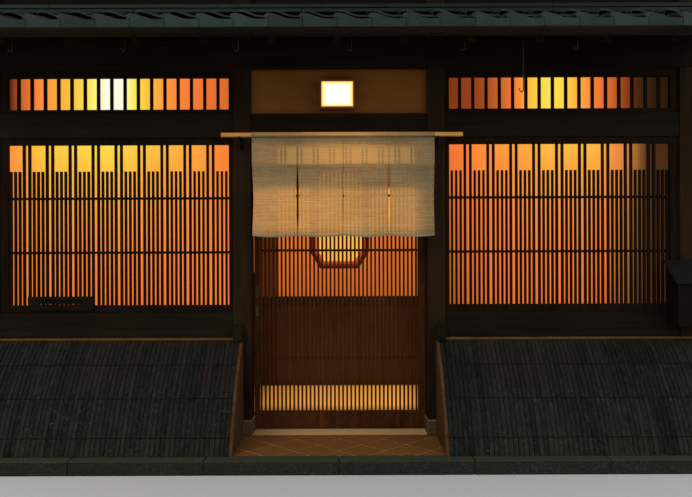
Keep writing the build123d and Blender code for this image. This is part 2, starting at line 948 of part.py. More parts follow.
# Ridge: courses of flat tiles, each lipped over the one below, under a round cap
ridge_low = main_tile_low + main_tile
ridge_half = ridge_width / 2
ridge_seat = main_height(ridge_low, ridge_half)
ridge_peak = main_height(ridge_low, 0)
ridge_top = ridge_peak + ridge_courses * ridge_course
with BuildPart() as main_ridge:
    with BuildSketch(Plane.YZ.offset(-roof_end + ridge_end_thickness)):
        with BuildLine():
            side = [(ridge_half, ridge_seat)]
            for course in range(ridge_courses):
                face = ridge_half - course * ridge_step
                top = ridge_peak + (course + 1) * ridge_course
                side += [(face, top), (face - ridge_step - ridge_lip, top)]
            side.pop()
            left = [(-y, z) for y, z in side]
            cap = ((-ridge_cap_radius, ridge_top), (ridge_cap_radius, ridge_top))
            Polyline(cap[0], *reversed(left), (0, ridge_peak), *side, cap[1])
            ThreePointArc(cap[1], (0, ridge_top + ridge_cap_radius), cap[0])
        make_face()
    extrude(amount=2 * (roof_end - ridge_end_thickness))
save(main_ridge, "main_ridge")

# End tiles that close the ridge
with BuildPart() as ridge_ends:
    for x in (-roof_end, roof_end - ridge_end_thickness):
        with BuildSketch(Plane.YZ.offset(x)):
            with BuildLine():
                half = ridge_half + ridge_end_margin
                seat = main_height(ridge_low, half)
                crown = ridge_top + ridge_cap_radius + ridge_end_margin
                shoulder = ridge_peak + ridge_courses * ridge_course / 2
                Polyline((-half, shoulder), (-half, seat), (0, ridge_peak), (half, seat), (half, shoulder))
                ThreePointArc((half, shoulder), (0, crown), (-half, shoulder))
            make_face()
        extrude(amount=ridge_end_thickness)
save(ridge_ends, "ridge_ends")

# Wall lamp on the plaster over the door
panel_face = front + panel_recess
with BuildPart() as lamp_glass:
    block(
        (lamp_x[0] + lamp_frame, lamp_x[1] - lamp_frame),
        (panel_face - lamp_reach + lamp_glass_recess, panel_face - lamp_glass_back),
        above(lamp_z[0] + lamp_frame, lamp_z[1] - lamp_frame),
    )
save(lamp_glass, "wall_lamp_glass")
with BuildPart() as wall_lamp:
    block(lamp_x, (panel_face - lamp_reach, panel_face), above(*lamp_z))
    with BuildSketch(Plane.XZ.offset(-panel_face)):
        with Locations(((lamp_x[0] + lamp_x[1]) / 2, landing + (lamp_z[0] + lamp_z[1]) / 2)):
            SlotOverall(lamp_plate_length, lamp_z[1] - lamp_z[0])
    extrude(amount=lamp_plate_thickness)
    with Locations(
        (
            (lamp_x[0] + lamp_x[1]) / 2,
            panel_face - lamp_glass_back - lamp_reach / 2,
            landing + (lamp_z[0] + lamp_z[1]) / 2,
        )
    ):
        Box(
            lamp_x[1] - lamp_x[0] - 2 * lamp_frame,
            lamp_reach,
            lamp_z[1] - lamp_z[0] - 2 * lamp_frame,
            mode=Mode.SUBTRACT,
        )
save(wall_lamp, "wall_lamp")

# Meter box and its sloping lid
with BuildPart() as meter_box:
    with BuildSketch(Plane.YZ.offset(meter_x[0])):
        with BuildLine():
            Polyline(
                (front, landing + meter_z[0]),
                (front, landing + meter_z[1]),
                (front - meter_reach, landing + meter_eave),
                (front - meter_reach, landing + meter_z[0]),
                close=True,
            )
        make_face()
    extrude(amount=meter_x[1] - meter_x[0])
save(meter_box, "meter_box")

with BuildPart() as meter_lid:
    fall = (meter_z[1] - meter_eave) / meter_reach
    reach = meter_reach + meter_lid_overhang
    with BuildSketch(Plane.YZ.offset(meter_x[0] - meter_lid_overhang)):
        with BuildLine():
            Polyline(
                (front, landing + meter_z[1]),
                (front, landing + meter_z[1] + meter_lid_thickness),
                (front - reach, landing + meter_z[1] - reach * fall + meter_lid_thickness),
                (front - reach, landing + meter_z[1] - reach * fall),
                close=True,
            )
        make_face()
    extrude(amount=wall_end - meter_x[0] + meter_lid_overhang)
save(meter_lid, "meter_box_lid")

# Noren on a bamboo pole held by two iron brackets
pole_y = front - pole_reach
with BuildPart() as noren_pole:
    with BuildSketch(Plane.YZ.offset(pole_left)):
        with Locations((pole_y, landing + pole_height)):
            RegularPolygon(pole_radius, 12)
    extrude(amount=pole_right - pole_left)
save(noren_pole, "noren_pole")

with BuildPart() as noren_brackets:
    arm_top = landing + pole_height - pole_radius - seat_clearance
    plate_face = front - hanger_plate_thickness
    for x in (-post_x[0], post_x[0]):
        hanger_x = (x - hanger_width / 2, x + hanger_width / 2)
        block(hanger_x, (plate_face, front), (arm_top - hanger_plate_height, arm_top))
        block(hanger_x, (pole_y - pole_radius, plate_face), (arm_top - hanger_arm, arm_top))
save(noren_brackets, "noren_brackets")

noren_width = (noren_right - noren_left - (noren_panels - 1) * noren_slit) / noren_panels
sleeve = pole_radius + seat_clearance
with BuildPart() as noren:
    for n in range(noren_panels):
        with BuildSketch(Plane.YZ.offset(noren_left + n * (noren_width + noren_slit))):
            with Locations((pole_y, landing + pole_height)):
                RegularPolygon(sleeve + noren_thickness, 8, major_radius=False)
            with Locations((pole_y, landing + (noren_low + pole_height) / 2)):
                Rectangle(noren_thickness, pole_height - noren_low)
            with Locations((pole_y, landing + pole_height)):
                RegularPolygon(sleeve, 8, major_radius=False, mode=Mode.SUBTRACT)
        extrude(amount=noren_width)
save(noren, "noren")

# Inner wall, its eight-sided window's frame and screen, seen through the door
inner_wall_y = front + inner_wall_depth
inner_wall_height = top_beam_high - upper_floor_thickness
window_at = (inner_window_centre[0], landing + inner_window_centre[1])


def eight_sides(inset, mode=Mode.ADD):
    """The inner window's outline, with all its sides drawn in by an inset."""
    half_x = inner_window_width / 2 - inset
    half_z = inner_window_height / 2 - inset
    ease = inset * (sum(inner_window_corner) - math.hypot(*inner_window_corner))
    cut_x = inner_window_corner[0] - ease / inner_window_corner[1]
    cut_z = inner_window_corner[1] - ease / inner_window_corner[0]
    low = [(half_x - cut_x, -half_z), (half_x, cut_z - half_z)]
    right = low + [(x, -z) for x, z in reversed(low)]
    left = [(-x, z) for x, z in reversed(right)]
    with Locations(window_at):
        Polygon(*right, *left, align=None, mode=mode)


with BuildPart() as inner_wall:
    with BuildSketch(Plane.XZ.offset(-inner_wall_y)):
        with Locations((0, landing + inner_wall_height / 2)):
            Rectangle(2 * inner_wall_half, inner_wall_height)
        eight_sides(0, Mode.SUBTRACT)
    extrude(amount=-inner_wall_thickness)
save(inner_wall, "inner_wall")

with BuildPart() as inner_window:
    with BuildSketch(Plane.XZ.offset(-inner_wall_y + inner_frame_proud)):
        eight_sides(0)
        eight_sides(inner_frame, Mode.SUBTRACT)
    extrude(amount=-inner_wall_thickness)
save(inner_window, "inner_window_frame")

with BuildPart() as inner_screen:
    with BuildSketch(Plane.XZ.offset(-inner_wall_y - inner_screen_depth)):
        eight_sides(inner_frame)
    extrude(amount=-screen_thickness)
save(inner_screen, "inner_window_screen")
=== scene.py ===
import math
import random

import bmesh
import bpy
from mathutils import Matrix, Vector

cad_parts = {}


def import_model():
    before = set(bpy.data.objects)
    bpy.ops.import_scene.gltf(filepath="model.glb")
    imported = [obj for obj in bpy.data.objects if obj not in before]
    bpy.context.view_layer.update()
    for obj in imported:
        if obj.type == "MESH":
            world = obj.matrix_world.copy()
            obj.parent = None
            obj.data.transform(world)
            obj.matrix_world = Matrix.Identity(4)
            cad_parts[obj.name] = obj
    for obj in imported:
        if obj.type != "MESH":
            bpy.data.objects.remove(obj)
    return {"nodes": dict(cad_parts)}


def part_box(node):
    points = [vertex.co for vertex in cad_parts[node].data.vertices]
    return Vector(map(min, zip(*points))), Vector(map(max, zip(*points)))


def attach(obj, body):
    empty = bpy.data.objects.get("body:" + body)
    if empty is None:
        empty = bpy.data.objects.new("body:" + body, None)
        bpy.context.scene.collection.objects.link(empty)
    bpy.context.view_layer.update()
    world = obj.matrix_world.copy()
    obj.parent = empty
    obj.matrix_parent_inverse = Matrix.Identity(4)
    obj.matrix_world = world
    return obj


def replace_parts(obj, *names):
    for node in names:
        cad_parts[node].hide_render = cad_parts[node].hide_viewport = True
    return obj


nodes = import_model()["nodes"]
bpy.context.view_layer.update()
scene = bpy.context.scene

# Places read from the frame, in metres
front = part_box("posts")[0].y
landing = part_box("granite_kerb")[1].z
roof_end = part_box("pent_tiles")[1].x

# Sizes of what is laid over the frame, in metres
posts_top = landing + 2.87
tile_columns = 24
tile_width = 2 * roof_end / tile_columns
tile_course = 0.2345
tile_crest = 0.04
tile_step = 0.02
tile_joint = 0.0035
tile_lip = 0.013
pent_slope = 0.33
main_slope = 0.45
slat_width = 0.0352
paving_side = 0.232
kerb_stone = 0.94
uncut = 9.0  # a cell's side where a material isn't parted along an axis


class Shader:
    """One material's shader nodes, with short ways to add and link them."""

    def __init__(self, name):
        self.material = bpy.data.materials.new(name)
        self.material.use_nodes = True
        self.tree = self.material.node_tree
        self.principled = self.tree.nodes["Principled BSDF"]
        self.coords = self.node("ShaderNodeTexCoord").outputs["Object"]

    def node(self, kind, **settings):
        made = self.tree.nodes.new(kind)
        for name, value in settings.items():
            setattr(made, name, value)
        return made

    def feed(self, socket, value):
        """Sets a socket to a constant, or links an output to it."""
        if isinstance(value, bpy.types.NodeSocket):
            self.tree.links.new(value, socket)
        else:
            socket.default_value = value

    def fill(self, made, **inputs):
        """Feeds a node's inputs by name."""
        for name, value in inputs.items():
            self.feed(made.inputs[name.replace("_", " ")], value)
        return made

    def set(self, **inputs):
        """Feeds the material's own inputs by name."""
        self.fill(self.principled, **inputs)
        return self

    def coat(self, colour, rough, specular=0.5):
        """Sets what the material reflects."""
        return self.set(Base_Color=colour, Roughness=rough, Specular_IOR_Level=specular)

    def glow(self, colour, strength):
        """Sets what light the material gives off."""
        return self.set(Emission_Color=colour, Emission_Strength=strength)

    def noise(self, scale, detail, rough, stretch=(1, 1, 1), warp=0.0):
        """Noise over the object, drawn out along the axes whose stretch is small."""
        mapping = self.fill(self.node("ShaderNodeMapping"), Vector=self.coords, Scale=stretch)
        made = self.node("ShaderNodeTexNoise")
        self.fill(made, Vector=mapping.outputs["Vector"], Scale=scale, Detail=detail)
        self.fill(made, Roughness=rough, Distortion=warp)
        return made.outputs["Fac"]

    def vector(self, operation, a, b=(0, 0, 0)):
        made = self.node("ShaderNodeVectorMath", operation=operation)
        self.feed(made.inputs[0], a)
        self.feed(made.inputs[1], b)
        return made.outputs[0]

    def cells(self, pitch, offset=(0, 0, 0)):
        """A random number for each cell of a grid laid on the object."""
        moved = self.vector("SUBTRACT", self.coords, offset)
        corner = self.vector("FLOOR", self.vector("DIVIDE", moved, pitch))
        white = self.node("ShaderNodeTexWhiteNoise", noise_dimensions="3D")
        return self.fill(white, Vector=corner).outputs["Value"]

    def ramp(self, value, stops):
        """A colour or level that changes with a value, given at (place, colour) stops."""
        made = self.node("ShaderNodeValToRGB")
        while len(made.color_ramp.elements) < len(stops):
            made.color_ramp.elements.new(0.5)
        for element, (place, colour) in zip(made.color_ramp.elements, stops):
            element.position = place
            grey = isinstance(colour, (int, float))
            element.color = (colour, colour, colour, 1) if grey else (*colour, 1)
        return self.fill(made, Fac=value).outputs["Color"]

    def mix(self, share, a, b, blend="MIX"):
        made = self.node("ShaderNodeMix", data_type="RGBA", blend_type=blend)
        self.feed(made.inputs["Factor"], share)
        for socket, value in ((made.inputs[6], a), (made.inputs[7], b)):
            self.feed(socket, (*value, 1) if isinstance(value, tuple) else value)
        return made.outputs[2]

    def maths(self, operation, a, b=0.0):
        made = self.node("ShaderNodeMath", operation=operation)
        self.feed(made.inputs[0], a)
        self.feed(made.inputs[1], b)
        return made.outputs[0]

    def times(self, a, b):
        return self.maths("MULTIPLY", a, b)

    def total(self, *shares):
        """A sum of (value, weight) pairs."""
        found = 0.0
        for value, weight in shares:
            found = self.maths("ADD", found, self.times(value, weight))
        return found

    def part(self, vector, name):
        split = self.fill(self.node("ShaderNodeSeparateXYZ"), Vector=vector)
        return split.outputs[name]

    def off(self, name, middle):
        """Distance from a middle plane along one axis."""
        return self.maths("ABSOLUTE", self.maths("SUBTRACT", self.part(self.coords, name), middle))

    def upward(self):
        """How far a face looks up, from -1 to 1."""
        return self.part(self.node("ShaderNodeNewGeometry").outputs["True Normal"], "Z")

    def between(self, value, low, high):
        """How far a value is from low to high, from 0 to 1."""
        made = self.fill(self.node("ShaderNodeMapRange", clamp=True), Value=value)
        return self.fill(made, From_Min=low, From_Max=high).outputs["Result"]

    def along(self, name, low, high):
        """How far a point is from low to high on one axis, from 0 to 1."""
        return self.between(self.part(self.coords, name), low, high)

    def height(self, low, high):
        """How far a point is from low to high above the landing, from 0 to 1."""
        return self.along("Z", landing + low, landing + high)

    def bump(self, height, strength, distance):
        made = self.node("ShaderNodeBump")
        self.fill(made, Strength=strength, Distance=distance, Height=height)
        return self.set(Normal=made.outputs["Normal"])


def timber(name, dark, light, axis, board=0.14):
    """Stained wood with its grain along one axis."""
    s = Shader(name)
    grain_way = tuple(0.035 if letter == axis else 1.0 for letter in "XYZ")
    fibre = s.noise(150, 6, 0.6, grain_way, 0.2)
    figure = s.noise(16, 5, 0.6, grain_way, 1.2)
    weather = s.noise(1.3, 4, 0.6)
    piece = s.cells((3.0 if axis == "X" else board, board, board))
    tone = s.total((fibre, 0.35), (figure, 0.45), (weather, 0.35), (piece, 0.08))
    paler = tuple(1.6 * c for c in light)
    colour = s.ramp(tone, [(0.42, dark), (0.66, light), (0.85, paler)])
    s.coat(colour, s.ramp(figure, [(0.3, 0.66), (0.7, 0.81)]), 0.03)
    return s.bump(s.maths("ADD", fibre, figure), 0.35, 0.0012)


def plaster_wall(name, colour, stain):
    """Earth plaster: cloudy, gritty and a little uneven from the trowel."""
    s = Shader(name)
    cloud = s.noise(1.6, 6, 0.62)
    grit = s.noise(240, 3, 0.6)
    trowel = s.noise(9, 4, 0.5, (1, 1, 3.0), 0.8)
    tone = s.mix(s.ramp(cloud, [(0.35, 0.0), (0.72, 1.0)]), colour, stain)
    pits = tuple(0.55 * c for c in stain)
    tone = s.mix(s.ramp(grit, [(0.3, 0.25), (0.6, 0.0)]), tone, pits)
    s.coat(tone, 0.92, 0.05)
    return s.bump(s.total((grit, 1.0), (trowel, 2.0)), 0.35, 0.0015)


def stone(name, colour, dark, pale, rough=0.8):
    """Granite: speckles of dark and pale grains on a grey ground."""
    s = Shader(name)
    grains = s.fill(s.node("ShaderNodeTexVoronoi"), Vector=s.coords, Scale=160)
    speck = s.ramp(grains.outputs["Color"], [(0.25, dark), (0.45, colour), (0.75, colour), (0.95, pale)])
    coarse = s.ramp(s.noise(75, 3, 0.7), [(0.4, 0.55), (0.5, 0.0)])
    speck = s.mix(coarse, speck, dark)
    cloud = s.noise(3.2, 5, 0.6)
    shade = tuple(0.6 * c for c in colour)
    tone = s.mix(s.ramp(cloud, [(0.4, 0.0), (0.75, 0.55)]), speck, shade)
    # Painted highlight: faces that look up are made paler.
    paler = s.ramp(s.upward(), [(0.4, 0.0), (0.8, 0.7)])
    tone = s.mix(paler, tone, tuple(2.2 * c for c in colour))
    s.coat(tone, rough, 0.09)
    return s.bump(s.noise(120, 4, 0.6), 0.5, 0.002)


def lit_paper():
    """Screens lit from behind: each bay brightest beside its lamps, fading towards its ends."""
    s = Shader("lit_paper")
    end = 2.7
    place = s.along("X", -end, end)

    def across(*stops):
        """A level that changes along the street, given at distances from the middle."""
        return s.ramp(place, [((x + end) / (2 * end), level) for x, level in stops])

    transoms = across(
        (-2.6, 0.06), (-2.51, 0.5), (-2.35, 0.78), (-1.83, 1.0), (-1.71, 1.0), (-1.21, 0.72),
        (-0.9, 0.58), (0.88, 0.24), (1.1, 0.34), (1.3, 0.56), (1.48, 0.87), (1.64, 0.935),
        (1.76, 0.925), (1.94, 0.81), (2.15, 0.53), (2.34, 0.12), (2.5, 0.04),
    )
    heads = across(
        (-2.65, 0.77), (-2.35, 0.89), (-1.82, 0.925), (-1.1, 0.83), (-0.93, 0.74), (0.85, 0.64),
        (1.05, 0.76), (1.65, 0.87), (2.0, 0.865), (2.15, 0.82), (2.34, 0.4), (2.43, 0.08), (2.6, 0.06),
    )
    feet = across(
        (-2.65, 0.69), (-2.28, 0.72), (-2.0, 0.67), (-1.4, 0.66), (-0.9, 0.71),
        (0.85, 0.43), (1.2, 0.63), (2.05, 0.63), (2.32, 0.2), (2.42, 0.07),
    )
    rise = s.height(1.0, 2.25)
    over = s.ramp(s.height(2.3, 2.5), [(0.4, 0.0), (0.6, 1.0)])
    field = s.mix(over, s.mix(rise, feet, heads), transoms)
    fibre = s.noise(60, 6, 0.7, (1, 1, 0.5), 0.6)
    field = s.total((field, 1.0), (fibre, 0.03), (0.015, -1.0))
    hue = s.ramp(field, [
        (0.0, (0.007, 0.0035, 0.0015)),
        (0.1, (0.046, 0.015, 0.004)),
        (0.25, (0.225, 0.037, 0.0072)),
        (0.4, (0.375, 0.07, 0.012)),
        (0.55, (0.624, 0.14, 0.024)),
        (0.65, (0.855, 0.174, 0.032)),
        (0.72, (0.947, 0.216, 0.037)),
        (0.78, (0.973, 0.279, 0.044)),
        (0.84, (0.991, 0.397, 0.05)),
        (0.89, (0.991, 0.565, 0.055)),
        (0.93, (0.991, 0.73, 0.072)),
        (0.96, (0.973, 0.888, 0.184)),
        (1.0, (0.991, 0.982, 0.768)),
    ])
    veil = s.ramp(field, [
        (0.0, (0.007, 0.0045, 0.003)),
        (0.25, (0.19, 0.066, 0.016)),
        (0.45, (0.42, 0.16, 0.032)),
        (0.65, (0.72, 0.28, 0.06)),
    ])
    veiled = s.times(s.along("X", 2.08, 2.28), s.maths("SUBTRACT", 1.0, over))
    hue = s.mix(veiled, hue, veil)
    return s.coat((0.016, 0.008, 0.003, 1), 0.9, 0.02).glow(hue, 1.0).bump(fibre, 0.2, 0.0006)


def roof_tile(name, pitch, offset, shade=1.0, shaded_band=None):
    """Smoked grey clay tile, each one a little lighter or darker than the next.

    Tiles darken with painted shade from the first distance of a given pair off the middle of the house
    to the second; faces that look up get painted shade too.
    """
    s = Shader(name)
    each = s.cells(pitch, offset)
    cloud = s.noise(11, 5, 0.6)
    fine = s.noise(170, 4, 0.6)
    tone = s.total((each, 0.3), (cloud, 0.6), (fine, 0.12))
    clay = (
        (0.25, (0.0125, 0.0195, 0.017)),
        (0.55, (0.025, 0.0385, 0.0335)),
        (0.85, (0.043, 0.063, 0.055)),
    )
    colour = s.ramp(tone, [(place, tuple(shade * c for c in hue)) for place, hue in clay])
    # Painted shade: faces that look up are darkened.
    dark = s.ramp(s.upward(), [(0.55, 0.0), (0.85, 1.0)])
    if shaded_band:
        # Painted shade in a band set by the pair of distances.
        dark = s.maths("MAXIMUM", dark, s.times(s.between(s.off("Y", 0.0), *shaded_band), 1.35))
    patches = s.ramp(s.noise(5.0, 6, 0.7), [(0.56, 0.0), (0.78, 0.4)])
    # Soot in random patches, together with the painted shade above.
    soot_and_shade = s.total((patches, 1.0), (dark, 0.58))
    colour = s.mix(soot_and_shade, colour, (0.009, 0.01, 0.0085))
    s.coat(colour, s.ramp(cloud, [(0.3, 0.5), (0.7, 0.7)]), 0.08)
    return s.bump(fine, 0.25, 0.001)


def aged_bamboo(first):
    """Split bamboo gone grey-brown, paler at the foot, with specks of lichen."""
    s = Shader("aged_bamboo")
    slat = s.cells((slat_width, uncut, uncut), (first, 0, 0))
    other = s.cells((slat_width, uncut, 0.45), (first + 40 * slat_width, 0, landing + 0.36))
    fibre = s.noise(150, 5, 0.65, (1, 0.06, 0.06), 0.2)
    streak = s.noise(60, 4, 0.6, (1, 0.12, 0.12), 0.3)
    mottle = s.noise(42, 5, 0.7, (1, 0.6, 0.6), 0.3)
    cloud = s.noise(3.0, 5, 0.65, (1, 1, 0.6), 0.4)
    tone = s.total(
        (slat, 0.05), (other, 0.05), (fibre, 0.22), (streak, 0.2), (mottle, 0.42), (cloud, 0.16)
    )
    colour = s.ramp(tone, [
        (0.42, (0.0046, 0.0047, 0.0039)),
        (0.54, (0.0108, 0.0113, 0.009)),
        (0.66, (0.0235, 0.0248, 0.02)),
    ])
    height = s.height(0.4, 0.84)
    band = s.ramp(height, [(0.0, 0.0), (0.05, 1.0), (0.75, 0.6), (1.0, 0.0)])
    bare = s.ramp(s.total((other, 0.35), (s.noise(1.7, 3, 0.5), 0.65)), [(0.56, 0.0), (0.68, 0.7)])
    colour = s.mix(s.times(band, bare), colour, (0.0205, 0.0135, 0.0125))
    foot = s.height(0.5, 0.0)
    low = s.ramp(foot, [(0.3, 0.0), (0.5, 0.25), (0.7, 0.4), (0.82, 0.75), (1.0, 0.9)])
    spots = s.ramp(s.total((slat, 0.35), (mottle, 0.65)), [(0.36, 0.0), (0.62, 0.8)])
    colour = s.mix(s.times(low, spots), colour, (0.025, 0.0262, 0.016))
    dash = s.noise(46, 3, 0.7, (0.7, 1.0, 2.4))
    speck = s.ramp(dash, [(0.615, 0.0), (0.66, 0.8)])
    patch = s.ramp(s.noise(4.1, 3, 0.6), [(0.46, 0.0), (0.58, 1.0)])
    spread = s.ramp(foot, [(0.02, 0.0), (0.2, 1.0), (0.9, 1.0), (1.0, 0.3)])
    lichen = s.times(speck, s.times(spread, patch))
    colour = s.mix(lichen, colour, (0.07, 0.082, 0.066))
    s.coat(colour, 0.8, 0.05)
    return s.bump(s.total((fibre, 1.0), (streak, 1.0)), 0.5, 0.0012)


def bamboo(name, pale, tan):
    """Fresh split or round bamboo along X, with a waxy skin."""
    s = Shader(name)
    fibre = s.noise(190, 5, 0.6, (0.03, 1, 1))
    cloud = s.noise(7, 4, 0.6)
    tone = s.total((fibre, 0.5), (cloud, 0.5))
    colour = s.ramp(tone, [(0.35, tan), (0.65, pale)])
    s.coat(colour, 0.5, 0.12)
    return s.bump(fibre, 0.2, 0.0006)


def metal(name, colour, tarnish, rough=0.45, metallic=0.85, drawn=1.0):
    """Metal with a cloudy tarnish, drawn out along X where it is rolled, and fine pits."""
    s = Shader(name)
    cloud = s.noise(13, 6, 0.7, (drawn, 1, 1))
    fine = s.noise(210, 4, 0.6)
    tone = s.mix(s.ramp(cloud, [(0.38, 0.0), (0.66, 1.0)]), colour, tarnish)
    rough = s.ramp(cloud, [(0.3, rough), (0.75, min(1.0, rough + 0.25))])
    s.coat(tone, rough, 0.04).set(Metallic=metallic)
    return s.bump(fine, 0.25, 0.0006)


def linen(name, colour, thin, glow=0.0):
    """Open hemp cloth: uneven threads both ways, thin enough to let the room's light through."""
    s = Shader(name)
    weft = s.noise(300, 3, 0.6, (0.05, 0.2, 1), 0.1)
    slub = s.noise(85, 4, 0.7, (0.022, 0.2, 1), 0.1)
    warp = s.noise(520, 3, 0.6, (1, 0.2, 0.05))
    cloud = s.noise(3.0, 4, 0.6)
    thread = s.total((weft, 0.3), (slub, 0.5), (warp, 0.2))
    tone = s.total((thread, 0.7), (cloud, 0.3))
    shade = tuple(0.76 * c for c in colour)
    light = tuple(1.22 * c for c in colour)
    height = s.height(1.53, 2.36)
    room = s.ramp(height, [
        (0.0, 0.45), (0.06, 0.55), (0.12, 0.95), (0.42, 0.95), (0.5, 0.3), (0.66, 0.28), (0.72, 0.85),
        (0.86, 0.8), (0.9, 0.2), (0.945, 0.15), (0.95, 0.75), (0.98, 0.75), (0.985, 0.15),
    ])
    place = s.along("X", -0.72, 0.78)
    low = s.ramp(place, [(0.0, 0.95), (0.45, 1.0), (0.7, 0.8), (0.86, 0.75), (0.93, 0.25), (1.0, 0.15)])
    high = s.ramp(place, [(0.0, 0.35), (0.25, 0.45), (0.45, 1.0), (0.62, 1.0), (0.8, 0.4), (1.0, 0.15)])
    room = s.times(room, s.mix(s.ramp(height, [(0.5, 0.0), (0.62, 1.0)]), low, high))
    lit = s.times(room, s.total((thread, 1.6), (0.2, 1.0)))
    s.coat(s.ramp(tone, [(0.41, shade), (0.5, colour), (0.59, light)]), 0.95, 0.1)
    s.set(Alpha=s.ramp(thread, [(0.42, thin - 0.06), (0.58, thin + 0.06)]))
    s.glow(s.mix(1.0, lit, (0.5, 0.195, 0.035), "MULTIPLY"), glow)
    return s.bump(thread, 0.3, 0.0005)


def lamp_paper(low, high):
    """Lit glass: white in the middle, warm towards its frame."""
    s = Shader("lamp_glass")
    centre = (low + high) / 2
    half = (high - low) / 2
    across = s.maths("DIVIDE", s.off("X", centre.x), half.x)
    up = s.maths("DIVIDE", s.off("Z", centre.z), half.z)
    hue = s.ramp(s.maths("MAXIMUM", across, up), [
        (0.6, (1.0, 1.0, 0.9)),
        (0.8, (1.0, 0.93, 0.5)),
        (0.92, (1.0, 0.62, 0.12)),
        (1.0, (0.95, 0.3, 0.04)),
    ])
    s.coat((0.3, 0.2, 0.1, 1), 0.35).glow(hue, 1.15)
    return s.bump(s.noise(30, 3, 0.5), 0.1, 0.001)


def added(name, data):
    """A new object in the scene."""
    piece = bpy.data.objects.new(name, data)
    scene.collection.objects.link(piece)
    return piece


def placed(name, points, faces, shader):
    """A new object of points and faces."""
    mesh = bpy.data.meshes.new(name)
    mesh.from_pydata(points, [], faces)
    mesh.materials.append(shader.material)
    return added(name, mesh)


def rounded(mesh, angle=None):
    """Shades a mesh smooth, but for edges sharper than an angle in degrees."""
    mesh.polygons.foreach_set("use_smooth", [True] * len(mesh.polygons))
    if angle:
        mesh.set_sharp_from_angle(angle=math.radians(angle))


class Solid:
    """Gathers points and faces, then makes one piece of them."""

    def __init__(self):
        self.points = []
        self.faces = []

    def add(self, points, faces):
        start = len(self.points)
        self.points.extend(points)
        self.faces.extend(tuple(start + i for i in face) for face in faces)

    def box(self, low, high):
        x, y, z = zip(low, high)
        corners = [(a, b, c) for a in x for b in y for c in z]
        sides = [(0, 1, 3, 2), (4, 6, 7, 5), (0, 4, 5, 1), (2, 3, 7, 6), (0, 2, 6, 4), (1, 5, 7, 3)]
        self.add(corners, sides)

    def skin(self, rings, solid=True):
        """Quads between rows of points of one length: rings of a solid, or rows of a sheet."""
        count = len(rings[0])
        faces = []
        for row in range(0, (len(rings) - 1) * count, count):
            for i in range(count if solid else count - 1):
                j = (i + 1) % count
                faces.append((row + i, row + j, row + count + j, row + count + i))
        if solid:
            faces.append(tuple(reversed(range(count))))
            faces.append(tuple((len(rings) - 1) * count + i for i in range(count)))
        self.add([p for ring in rings for p in ring], faces)

    def prism(self, outline, left, right):
        """A straight prism along X over a closed outline in the YZ plane."""
        ends = [[(x, y, z) for y, z in outline] for x in (left, right)]
        self.skin(ends)

    def make(self, name, shader, smooth=None, bevel=0.0):
        """The piece, on the house, with its material."""
        piece = placed(name, self.points, self.faces, shader)
        piece.data.validate()
        outward(piece.data)
        if smooth:
            rounded(piece.data, smooth)
        if bevel:
            soften(piece, bevel)
        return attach(piece, "house")


def outward(mesh):
    """Turns every face to the outside of the closed form that it is on."""
    form = bmesh.new()
    form.from_mesh(mesh)
    bmesh.ops.recalc_face_normals(form, faces=form.faces)
    form.to_mesh(mesh)
    form.free()


def soften(piece, width):
    """Rounds the edges a little, as wear does."""
    edge = piece.modifiers.new("worn_edges", "BEVEL")
    edge.width = width
    edge.angle_limit = 0.6


def dress(name, shader, bevel=0.0, smooth=None):
    """Gives a CAD node its material, and rounds or smooths its edges."""
    node = nodes[name]
    node.data.materials.clear()
    node.data.materials.append(shader.material)
    if bevel or smooth:
        weld = node.modifiers.new("joined", "WELD")
        weld.merge_threshold = 0.00002
    if bevel:
        soften(node, bevel)
    if smooth:
        rounded(node.data, smooth)


def painted_eave_shade(wall):
    """Darkens a wall with painted shade, from under the pent roof's boards to a little above its ridge
    tiles.
    """
    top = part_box("pent_ridge")[1].z
    low = wall.ramp(wall.along("Z", posts_top - 0.03, posts_top + 0.02), [(0.0, 0.0), (1.0, 1.0)])
    high = wall.ramp(wall.along("Z", top + 0.08, top + 0.26), [(0.0, 1.0), (1.0, 0.0)])
    unshaded = wall.principled.inputs["Base Color"].links[0].from_socket
    # Painted shade mixed over the wall's own colour.
    return wall.set(Base_Color=wall.mix(wall.times(low, high), unshaded, (0.0075, 0.005, 0.0032)))


# Materials
post_wood = timber("post_timber", (0.006, 0.0034, 0.0016), (0.02, 0.0108, 0.0048), "Z", board=0.5)
beam_wood = timber("beam_timber", (0.0036, 0.0024, 0.0014), (0.0112, 0.0074, 0.0042), "X")
bar_wood = timber("bar_timber", (0.003, 0.0016, 0.0009), (0.0105, 0.0055, 0.0028), "Z", board=0.017)
# Door timber: warm brown wood, painted brighter as well for the lamp's warm light on the door.
lamp_lit_door_wood = timber("door_timber", (0.018, 0.0058, 0.0018), (0.064, 0.0215, 0.0064), "Z", board=0.033)
eave_wood = timber("eave_timber", (0.0035, 0.0018, 0.001), (0.012, 0.006, 0.003), "Y")
# Fence end timber: stained wood, painted brighter and warmer as well for the lamp's light on the fences'
# ends.
lamp_lit_end_wood = timber("lamp_lit_fence_end_timber", (0.026, 0.012, 0.005), (0.075, 0.036, 0.015), "Z", board=0.02)
purlin_wood = timber("purlin_timber", (0.016, 0.01, 0.006), (0.05, 0.031, 0.018), "X")
granite = stone("granite", (0.0215, 0.0235, 0.015), (0.008, 0.0085, 0.006), (0.06, 0.064, 0.046))
# Threshold stone: pale stone, painted warmer and brighter as well for the lamp's light on it.
lamp_lit_pale_stone = stone("lamp_lit_pale_stone", (0.34, 0.195, 0.08), (0.15, 0.085, 0.038), (0.54, 0.36, 0.18))
warm_stone = stone("post_stone", (0.105, 0.066, 0.036), (0.04, 0.026, 0.016), (0.22, 0.15, 0.09))
